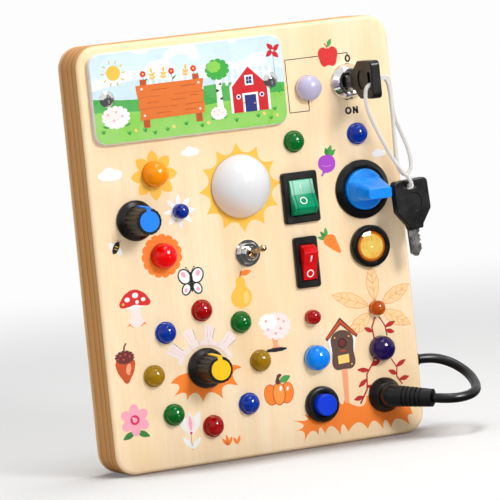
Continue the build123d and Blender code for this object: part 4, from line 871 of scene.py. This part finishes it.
carrot = [
    *leaves("leaf", (-2.2, 2, 5.4, 2.1, 94)), *leaves("moss", (-2.6, 1.8, 4.8, 2, 128)),
    *leaves("leaf", (-2.6, 1.4, 4.9, 2, 164)),
    ("orange", "smooth", (-3.6, 2), (-0.9, 3.5), (2.2, 2.7), (3.7, -1), (5, -5), (4.9, -6.9),
     (3.2, -6.2), (-1.2, -3.2), (-4, -0.4)),
    *lines("rust", 0.3, [(-1.2, 1.4), (0.4, 1)], [(0.8, -1), (2, -0.6)], [(2.8, -3.8), (3.6, -3.4)]),
]
bee = [
    *ovals("white", (-1.8, 0.6, 3, 1.7, 130), (1.6, -1.8, 2.6, 1.5, -60)),
    *ovals("black", (0, 0, 3.5, 1.7, 60)),
    *lines("sun", 0.7, [(-1.1, -0.3), (0.9, -1.2)], [(-0.6, 1), (1.3, 0.2)]),
    *lines("black", 0.25, [(1.4, 2.8), (1.6, 4.2)], [(2, 2.4), (3, 3.6)]),
]
butterfly = []
for side in (-1, 1):
    for ink, x, y, rx, ry, tilt in (
            ("black", 5, 4.2, 5.2, 6.2, -28), ("white", 5.1, 4.3, 4.1, 5.1, -28),
            ("black", 4.3, -5, 3.8, 4.8, 28), ("white", 4.4, -5, 2.7, 3.7, 28),
            ("pink", 5.8, 5.8, 1.7, 2.2, -28), ("pink", 4.8, -5.8, 1.2, 1.6, 28)):
        butterfly += ovals(ink, (side * x, y, rx, ry, side * tilt))
    butterfly += lines("black", 0.4, [(0, 5.4), (side * 1.4, 8.6), (side * 3, 10.6)])
    butterfly += ovals("black", (side * 3.1, 10.7, 0.55))
butterfly += ovals("black", (0, 0, 1.35, 7.4))
pear = [
    ("sun", "smooth", (0.4, 9.4), (3, 7.4), (3.6, 3.2), (6.6, -1.2), (6.6, -6.4), (2.6, -9.8),
     (-2.8, -9.6), (-6.6, -6), (-6.2, -0.8), (-3, 3.4), (-2.4, 7.6)),
    ("honey", "smooth", (3.4, -0.4), (5.2, -3), (4.6, -6.6), (2.4, -7.8), (1.6, -4)),
    *lines("rust", 0.8, [(0.4, 9), (0.8, 11.2), (2, 12.6)]), *leaves("orange", (0.8, 10.4, 7.4, 3.4, 12)),
]
blossomTree = [
    ("salmon", "smooth", (-1.6, -2), (1.8, -2), (1.6, -9), (3.4, -11), (-3.4, -11), (-1.6, -9)),
    ("blush", "puff", 1.6, 2.4, 9.6, 8.2, 13), ("white", "puff", -3.6, 5.4, 6, 5, 9),
    *ovals("pink", (4.2, 0.6, 0.9), (6.6, 4.6, 0.8), (0.8, -1.8, 0.8), (-4, 1, 0.8)),
    *ovals("salmon", (-4.8, 6, 0.7), (3.4, 6.4, 0.7)), ("black", "puff", 0.2, -11.4, 7, 1.3, 9),
]
pumpkin = [
    *leaves("leaf", (1, 5.6, 7.6, 4, 20)),
    *ovals("rust", (-5.2, -1.4, 4.4, 6.4, 8), (5.2, -1.4, 4.4, 6.4, -8)),
    *ovals("orange", (-5.4, -1.4, 3.9, 6, 8), (5.4, -1.4, 3.9, 6, -8)),
    *ovals("rust", (0, -1.4, 4.2, 6.9)), *ovals("lineOrange", (0, -1.4, 3.6, 6.4)),
    *ovals("white", (1.4, 1.6, 0.8, 1.7, -12), (5.8, 1, 0.7, 1.4, -20)),
    ("maroon", "smooth", (-1.2, 4.6), (1.2, 4.6), (1, 7.4), (2.6, 9.6), (0.8, 10.2), (-0.9, 8)),
]
lily = [
    *lines("grey", 0.5, [(0, -2), (-0.4, -8), (0.6, -13.4)]),
    *leaves("white", (-0.2, -11.8, 9.5, 3.4, 128), (0.2, -12.6, 9, 3.4, 48), (0, -3, 15.5, 6.4, 118),
            (0, -3, 15.5, 6.4, 62)),
    *leaves("blush", (0, -3, 14.5, 6.2, 90)), *leaves("pink", (0, -0.5, 9.5, 2.4, 90)),
    *ovals("crimson", (0, -2.2, 0.9)),
]
pinkFlower = [
    *leaves("moss", (-0.5, -5.4, 8.6, 3.6, 205), (0.5, -5.4, 8.6, 3.6, -25)),
    *ovals("pink", *((*polar(5.4, angle, (0, 1.4)), 3.9, 3, angle) for angle in range(30, 390, 60))),
    *ovals("crimson", (0, 1.4, 2.9)), *ovals("pink", (0, 1.4, 1.5)), *ovals("white", (-1, 2.6, 0.45)),
]
acorn = [
    ("rust", "smooth", (-5.4, 1.6), (5.4, 1.6), (5.6, -3.6), (2.8, -9), (0, -12), (-2.8, -9), (-5.6, -3.6)),
    ("salmon", "smooth", (2.2, -0.4), (3.2, -1), (2.8, -5), (1.4, -7.2)),
    ("maroon", "puff", 0, 3.4, 6.2, 4, 13), *lines("brown", 1, [(0, 6.6), (0.2, 9.2), (1.6, 11.4)]),
    *ovals("rust", (-2.6, 4.6, 0.6), (0.6, 5, 0.6), (3.2, 3.6, 0.6), (-0.8, 2.2, 0.6), (-4.2, 2.6, 0.5)),
]
toadstool = [
    ("orange", "sharp", *flames(
        ((-7, -11.4), (-4.6, -10.4)), ((-2.6, -11.6), (0, -10.6)), ((2.8, -11.6), (4.8, -10.4)),
        ((7, -11.2), (4.6, -9.2)), ((3, -7.6), (0, -9)), ((-3, -7.6), (-4.6, -9.2)))),
    ("blush", "smooth", (-2.6, 1.4), (2.6, 1.4), (3, -4.6), (4, -9.8), (-4, -9.8), (-3, -4.6)),
    *ovals("white", (0, 0.6, 5.8, 1.5)),
    ("red", "smooth", (-9.6, 1.2), (-8.2, 5.4), (-4.2, 9), (0, 10.2), (4.2, 9), (8.2, 5.4), (9.6, 1.2),
     (5, 0.4), (0, 1.4), (-5, 0.4)),
    *ovals("white", (-4.6, 4.8, 1.6, 1.4), (0.6, 6.8, 1.9, 1.6), (5.4, 4, 1.4, 1.2), (1.4, 2.8, 1.1)),
    *ovals("sun", (-7.4, 2.4, 0.8)),
]
birdhouse = [
    ("salmon", "sharp", (-1.8, -25), (0.9, -25.6), (1.9, -3), (-1.9, -3)),
    ("white", "sharp", (-9.6, 14), (9.6, 14), (7.4, 4.6), (-7.4, 4.6)),
    ("brown", "smooth", (-5.6, 16), (5.6, 16), (6.9, 5), (6.3, -4.2), (0, -5), (-6.3, -4.2), (-6.9, 5)),
    ("maroon", "sharp", (-10.6, 14.2), (-9.6, 12.6), (0, 21.2), (9.6, 12.6), (10.6, 14.2), (0, 25.6)),
    ("rust", "sharp", (-9.8, 14.6), (0, 24.2), (9.8, 14.6), (9.2, 13.6), (0, 22.4), (-9.2, 13.6)),
    ("honey", "sharp", (-3.6, -1.8), (3.6, -1.4), (3.6, 3.6), (-3.6, 3.2)),
    *ovals("black", (0, 10.4, 2.9)), *ovals("maroon", (0, 10.4, 2.3)),
    *lines("rust", 0.8, [(-1.8, 5.8), (1.8, 5.8)]),
    *ovals("sun", (-4.6, 14, 0.5), (4.6, 14, 0.5), (5, -2.6, 0.5)),
]
reeds = []      # line drawn leaves round the amber lamp
for tilt, length in ((26, 22), (92, 21), (158, 26), (216, 20), (-30, 21)):
    outline = leafShape(*polar(4.2, tilt), length, 8.4, tilt)
    reed = [("wheat", "sharp", *outline), *lines("lineOrange", 0.38, outline + outline[:1]),
            *lines("lineOrange", 0.3, [outline[0], outline[4]])]
    for share in (0.3, 0.5, 0.7):
        foot = polar(share * length, tilt, outline[0])
        for way in (-42, 42):
            vein = [foot, polar(4.6 * (1 - abs(share - 0.5)), tilt + way, foot)]
            reed += lines("lineOrange", 0.26, vein)
    reeds.append(reed)
stem = [        # climbing stem below the amber lamp, to its lamps and the ground
    *lines("lineRed", 1, [(73.6, 72), (70.8, 66), (71.6, 60), (70, 46), (64.6, 39), (63.8, 30), (58.6, 22)]),
    *lines("lineRed", 0.8, [(76, 72), (79.4, 66), (80.2, 60)],
           [(81.4, 46), (84.6, 40.4), (84, 35), (87.2, 30)]),
]
for x, y, tilt, length in (
        (71, 63.4, 150, 6), (66.2, 41, 170, 7.5), (64.2, 36, 215, 7), (63.9, 32, -20, 6.6),
        (61, 26, 190, 6.4), (79.6, 65.4, 20, 7), (79.8, 63.4, -20, 5.6), (84.4, 41, 28, 7),
        (84.2, 36.4, 150, 6), (85.6, 33, 10, 6.4), (68.4, 43.6, 20, 6)):
    stem += leaves("lineRed", (x, y, length, 2.8, tilt))
strip = [("orange", "sharp", *flames(
    ((18.8, 22.4), (23.4, 17.4)), ((13.6, 18.2), (20.4, 14.4)), ((14.4, 11.5), (20, 10.6)),
    ((19.8, 4.7), (25, 10.4)), ((29.5, 7.5), (31, 11.8)), ((33.8, 7.7), (38.4, 11.6)),
    ((43.7, 5.5), (45.6, 11.6)), ((49, 6.7), (55.8, 11.4)), ((61.8, 6.5), (66.4, 10.8)),
    ((71.8, 5.1), (73.6, 10.4)), ((77, 5.3), (81.6, 10)), ((89.6, 5.1), (88.6, 10.4)),
    ((92.1, 11.2), (90.6, 15.6)), ((88.4, 20.6), (78, 22.6)), ((63, 26.4), (58.8, 20.4)),
    ((48.2, 25.6), (46.6, 23.2)), ((44.4, 26.4), (36, 22)), ((28, 19.6), (23.6, 19.8))))]
sunRing = [("sun", "hoop", spikes(0, -0.8, 26.3, 20.6, 12, 2.4), circle(0, 0, 17.4, count=40))]
yellowPetals = [("sun", "hoop", petals(0, -0.8, 14.6, 9.4, 8, 0.7), circle(0, 0, 6.4, count=28))]
scallopRing = [("orange", "hoop", scallops(-0.5, 0, 12.8, 12.8, 15, 0.1), circle(0, 0, 6.4, count=28))]
whitePetals = [("white", "hoop", petals(0, 0, 10.2, 3.6, 8, 0.9), circle(0, 0, 3.4, count=20))]
burst = [("orange", "sharp", *flames(
    ((-23, -6.1), (-17.8, -8.4)), ((-21.9, -13.8), (-14.8, -12.6)), ((-14.3, -17.2), (-8.2, -13.4)),
    ((-3.7, -19.5), (1.4, -14.4)), ((8.9, -19.4), (10.2, -12)), ((19.3, -13), (16.6, -5.6)),
    ((22.6, -2.9), (19.4, -0.9)), ((15, -0.3), (1, 0.3)), ((-11.6, -1.5), (-18.4, -2.6))))]
pickets = []
for tilt, top in ((147, 26.6), (113, 25.6), (79, 25.4), (43, 26.2)):
    corners = ((16, -10), (top - 1, -8.5), (top, 0), (top - 0.6, 7.5), (16, 10))
    pickets.append(("blush", "sharp", *(polar(reach, tilt + lean) for reach, lean in corners)))
    for lean, ink, wide in ((-8.6, "black", 0.32), (-3, "pink", 0.2), (2, "salmon", 0.22)):
        pickets += lines(ink, wide, [polar(17.6, tilt + lean), polar(top - 1.4, tilt + lean)])
band = [(18.4 * cos(radians(angle)), 16.8 * sin(radians(angle)) - 0.6) for angle in range(18, 168, 6)]
band += [(15.4 * cos(radians(angle)), 14 * sin(radians(angle)) - 0.6) for angle in range(166, 14, -6)]
pickets.append(("blush", "sharp", *band))
for angle in range(34, 160, 22):
    pickets += lines("salmon", 0.2, [polar(14.2, angle), polar(17, angle)])
circuit = lines("black", 0.7, [
    (72.2, 227.4), (72.2, 229.4), (31.5, 229.1), (31.6, 198), (44.3, 198), (44.3, 204.4)])
marks = [       # the nought and ON of the key switch
    *many("black", "ring", (72.15, 226, 1.85, 0.75, 1.25), (69.4, 195.35, 2.15, 1, 1.04)),
    *lines("black", 1.2, [(72.9, 193.2), (72.9, 197.4)], [(72.9, 197.2), (75.2, 193.4)],
           [(75.2, 193.2), (75.2, 197.4)]),
]

rotary, smallAmber = (-38.2, 56.5), (74.6, 77.3)        # their middles, mm
frontPrint = bmesh.new()
for shapes, *setting in (       # then place, size and first layer
        (cloudSmall, (-85.6, 174.6), 1.28), (cloudSmall, (-34.1, 182.4), 0.95),
        (cloudSmall, (86.6, 167.8), 0.78), (apple, (59.6, 228.5), 1.12), (beet, (51.9, 165.4), 1.2),
        (carrot, (49.7, 120.2), 1.12), (bee, (-86.8, 132.9), 1.1), (sunRing, (-4.9, 159.2)),
        (yellowPetals, (-58.5, 172.6)), (scallopRing, (-58.2, 124.8)), (whitePetals, (-44.9, 149.3)),
        (burst, rotary), (pickets, rotary, 1, 1), (butterfly, (-41.9, 107.6), 0.80),
        (pear, (-11.2, 98), 0.95), (blossomTree, (7.6, 72.5)), (pumpkin, (6.6, 36.5)),
        (lily, (-51.6, 22), 0.9), (pinkFlower, (-86, 31)), (acorn, (-88.4, 66)), (toadstool, (-78.6, 97.4)),
        (birdhouse, (50.4, 49), 1, 12), *((reed, smallAmber, 1, 1) for reed in reeds), (stem, (0, 0), 1, 2),
        (strip,)):
    printShapes(frontPrint, shapes, *setting)
for offset, length, tilt in ((0.4, 5.4, 124), (0.8, 6.2, 94), (1.2, 5.4, 62), (6.6, 4.6, 116), (7, 5, 70)):
    printShapes(frontPrint, leaves("orange", (-29.8 + offset, 9.6, length, 1.9, tilt)))
printShapes(frontPrint, circuit)
printShapes(frontPrint, marks, base=1)
finishPrint("front_print", frontPrint, facing(), "board")
print("busy board: front print")

# picture on the plate
plate = dict(place=(-32.6, 218.9), out=4.0, edge=0.05)     # mm
cottage = [
    ("white", "sharp", *twin((-13.2, -14), (-13.2, 2.2), (0, 15.4))),
    ("roof", "sharp", *twin((-11.6, -14), (-11.6, 2), (0, 13.4))),
    ("white", "sharp", *twin((-5.2, -14), (-5.2, -2.6))), ("navy", "sharp", *twin((-3.8, -14), (-3.8, -3.8))),
    ("white", "sharp", *twin((-2.8, 2), (-2.8, 8.2))), ("navy", "sharp", *twin((-1.8, 3), (-1.8, 7.2))),
    *lines("white", 0.35, [(0, 3), (0, 7.2)], [(-1.8, 5.1), (1.8, 5.1)]),
    *ovals("white", (-7.8, -4.4, 1.5)), *ovals("navy", (-7.8, -4.4, 0.9)),
    *ovals("white", (7.8, -4.4, 1.5)), *ovals("navy", (7.8, -4.4, 0.9)),
    *ovals("sun", (2.6, -9.2, 0.4)), *lines("roof", 0.5, [(-5.2, -8.4), (-3.8, -8.4)]),
]
planter = [
    *many("plankDark", "sharp", [(-18.6, -15), (-14.6, -15), (-14.6, 12.6), (-18.6, 13)],
          [(14.6, -15), (18.6, -15), (18.6, 12.6), (14.6, 13)]),
    ("plank", "sharp", (-21.6, 9.6), (-21, 2.4), (-20.2, 2), (-20.8, -4), (-19.8, -4.6),
     (-20.4, -10.6), (20.2, -10), (20.8, -4.4), (20, -3.8), (20.8, 2.2), (20, 2.8), (21.4, 9.8)),
]
for y, left, right in (
        (2.4, -20.6, -6), (2.4, 2, 20.4), (-4.2, -20, 3), (-4.2, 9, 20), (6.2, -12, -2), (6.6, 7, 16),
        (-1, -15, -8), (-0.8, 0, 9), (-7.4, -10, -1), (-7.2, 8, 15), (0.8, 12, 17)):
    planter += lines("plankDark", 0.3, [(left, y), ((left + right) / 2, y + 0.25), (right, y)])
planter += ovals("blush", (-18, 7.4, 0.7), (18, 7.6, 0.7), (-17.6, -8, 0.7), (17.6, -7.6, 0.7))
sprig = [
    *lines("sun", 0.4, [(0, 0), (0.3, 7)]),
    *leaves("sun", (0.2, 6.4, 3.4, 1.7, 90), (0.2, 4.4, 3, 1.4, 135), (0.2, 4.4, 3, 1.4, 45),
            (0.1, 2.4, 2.8, 1.3, 140), (0.1, 2.4, 2.8, 1.3, 40)),
]
poppy = [
    *lines("moss", 0.4, [(0, 0), (-0.3, 5)]), ("red", "puff", -0.3, 6.2, 2.1, 2.1, 5),
    *ovals("sun", (-0.3, 6.2, 0.7)), *leaves("moss", (0, 1, 3.4, 1.3, 38)),
]
birch = [
    ("white", "sharp", (-2.2, -15), (-1.5, 10), (1.3, 10), (2.2, -15)),
    *many("black", "sharp", [(-2.1, -10.6), (0.2, -9.8), (-2, -8.8)], [(2, -5.6), (-0.4, -4.8), (1.9, -3.6)],
          [(-1.8, -0.6), (0.4, 0.4), (-1.8, 1.6)], [(1.7, 3.4), (-0.2, 4.2), (1.6, 5.2)]),
    ("grass", "puff", 0, 13.4, 8.2, 6.6, 11), ("meadow", "puff", -2.2, 15.2, 4.8, 3.6, 8),
]
bush = [
    ("white", "puff", 0, 0, 10.4, 7.8, 14), ("blush", "puff", -2.6, 1.4, 6.6, 5, 11),
    *ovals("pink", (-5.6, 2.2, 0.9), (0.4, 3.6, 0.8), (4.6, 0.4, 0.9), (-1.6, -2, 0.8)),
    *leaves("leaf", (-6, -6.6, 4.4, 1.8, 160), (6, -6.4, 4.4, 1.8, 20)),
]
fence = [
    *many("cloud", "sharp", *([(x - 0.9, -4), (x - 0.9, 4), (x, 5.2), (x + 0.9, 4), (x + 0.9, -4)]
                              for x in range(0, 36, 4))),
    *lines("cloud", 0.7, [(-2, 1.8), (34, 1.8)], [(-2, -1.8), (34, -1.8)]),
]
sun = [*ovals("sun", (0, 0, 4.4)), *lines("sun", 0.6, *([polar(5.6, angle), polar(7.8, angle)]
                                                        for angle in range(0, 360, 36)))]
pinwheel = [
    *lines("grey", 0.5, [(0, 0), (0.2, -16)]),
    *leaves("roof", *((0, 0, 6.2, 3.6, tilt, 1.4) for tilt in (24, 114, 204, 294))),
    *ovals("white", (0, 0, 0.8)),
]
platePrint = bmesh.new()
for shapes, *setting in (       # then place, size, first layer and tilt
        (fence, (-24, 3.4)), (fence, (20, 3.8)), (sun, (-46.5, 14.5)), (pinwheel, (55, 17), 0.85),
        (sprig, (-22, 6.4), 0.9, 0, 8), (sprig, (-16, 6.4), 0.9, 0, -6), (sprig, (-2, 6.4), 0.9, 0, -6),
        (poppy, (-28, 6.4), 0.9), (poppy, (-10, 6.4), 0.9), (poppy, (4, 6.4), 0.9),
        (planter, (-12, -4), 1, 8), (birch, (18.6, -3), 0.95, 10), (cottage, (38, -3.4), 0.96, 14),
        (bush, (-47.5, -11), 0.86), (bush, (17, -15.6), 0.5, 24)):
    printShapes(platePrint, shapes, *setting)
for index, (x, y) in enumerate((
        (-56, -20), (-40, -22), (-30, -21.4), (-16, -22.4), (-4, -20.4), (6, -22.6), (28, -22), (42, -21),
        (53, -18), (57, -8), (-24, -23.4), (50, -23))):
    for tilt in (60, 90, 125):
        printShapes(platePrint, leaves("grass", (x, y, 2.6, 0.8, tilt)))
    if index % 2:
        flower = [("honey", "puff", x + 4, y + 2.2, 1, 1, 5), ("salmon", "oval", x + 4, y + 2.2, 0.35)]
        printShapes(platePrint, flower)
finishPrint("plate_picture", platePrint, facing(*plate["place"], plate["out"]), "board")

# plate: sky, clouds and hills on its face, white core at the edge
material, tree, place, wear = startMaterial("printedPlate", 24.0)
across, depth, height = axesOf(tree, place)
sky = mixed(tree, spread(tree, height, 0.214, 0.246), (232, 244, 250), (206, 232, 246))
puffs = spread(tree, noise(tree, place, 17, 1, 0.3, (1.3, 1, 0.8), (2, 0, 5)), 0.52, 0.53)
sky = faded(tree, puffs, 0.85, sky, (244, 249, 252))
for level, swing, wavelength, shift, tint in (     # rolling lines, in mm
        (226, 2.2, 70, 1.0, (204, 228, 240)), (218.5, 1.8, 96, 2.4, (62, 172, 66)),
        (210, 1.6, 120, 0.4, (140, 208, 82))):
    angle = maths(tree, "ADD", times(tree, across, 2000 * pi / wavelength), shift)
    line = maths(tree, "ADD", level / 1000, times(tree, maths(tree, "SINE", angle), swing / 1000))
    sky = mixed(tree, maths(tree, "LESS_THAN", height, line), sky, tint)
front = maths(tree, "LESS_THAN", depth, (boardFront - plate["out"] + plate["edge"]) / 1000)
shade = mixed(tree, front, (232, 228, 228), sky)
shade = faded(tree, wear["Smudge"], 0.05, shade, (180, 180, 170))
dress(material, shade, handled(tree, wear, 0.26, 0.38), Coat_Weight=0.25, Coat_Roughness=0.12,
      Normal=bump(tree, noise(tree, place, 0.6, 2), 0.05))
coat("name_plate", material)

dot = bmesh.new()
printShapes(dot, ovals("black", (0, 0, 0.95)))
finishPrint("selector_mark", dot, facing(66.2, 152.8, 6.0), "selector")

# springs: their length from the seat at the bottom of the housing, and each button's middle and travel, all
# in mm; here each spring only gets a mesh of its own
springs = dict(length=9.0, amber_button=(74.3, 114.2, 3.0), blue_button=(33.2, 25.3, 2.5))
for name in ("amber_button", "blue_button"):
    x, z, travel = springs[name]
    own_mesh(nodes[name + "_spring"])

# marks on the rockers, in mm: the line's height on the paddle, its length and width, and the ring
rockerMarks = dict(
    pivot=0.8, middle=5.4, dip=8,
    green=dict(place=(31.3, 148.3), tilt=-20, line=(4.4, 3.9, 0.7), ring=(0, -4.0, 2.3, 1.75, 1)),
    red=dict(place=(32.3, 109.9), tilt=20, line=(4.75, 4.1, 1.0), ring=(0, -4.85, 2.3, 1.65, 1)),
)
for prefix in ("green", "red"):
    rocker = rockerMarks[prefix]
    height, length, width = rocker["line"]
    drawn = dict(one=lines("white", width, [(0, height - length / 2), (0, height + length / 2)]),
                 nought=[("white", "ring", *rocker["ring"])])
    for label, half in (("one", 1), ("nought", -1)):
        mark = bmesh.new()
        printShapes(mark, drawn[label])
        onPaddle = (facing(*rocker["place"], rockerMarks["pivot"])
                    @ Matrix.Rotation(radians(rocker["tilt"]), 4, "X")
                    @ Matrix.Translation(mm(0, 0, rockerMarks["middle"]))
                    @ Matrix.Rotation(radians(rockerMarks["dip"] * half), 4, "X"))
        finishPrint(prefix + "_rocker_" + label, mark, onPaddle, prefix + "_rocker")
print("busy board: prints done")
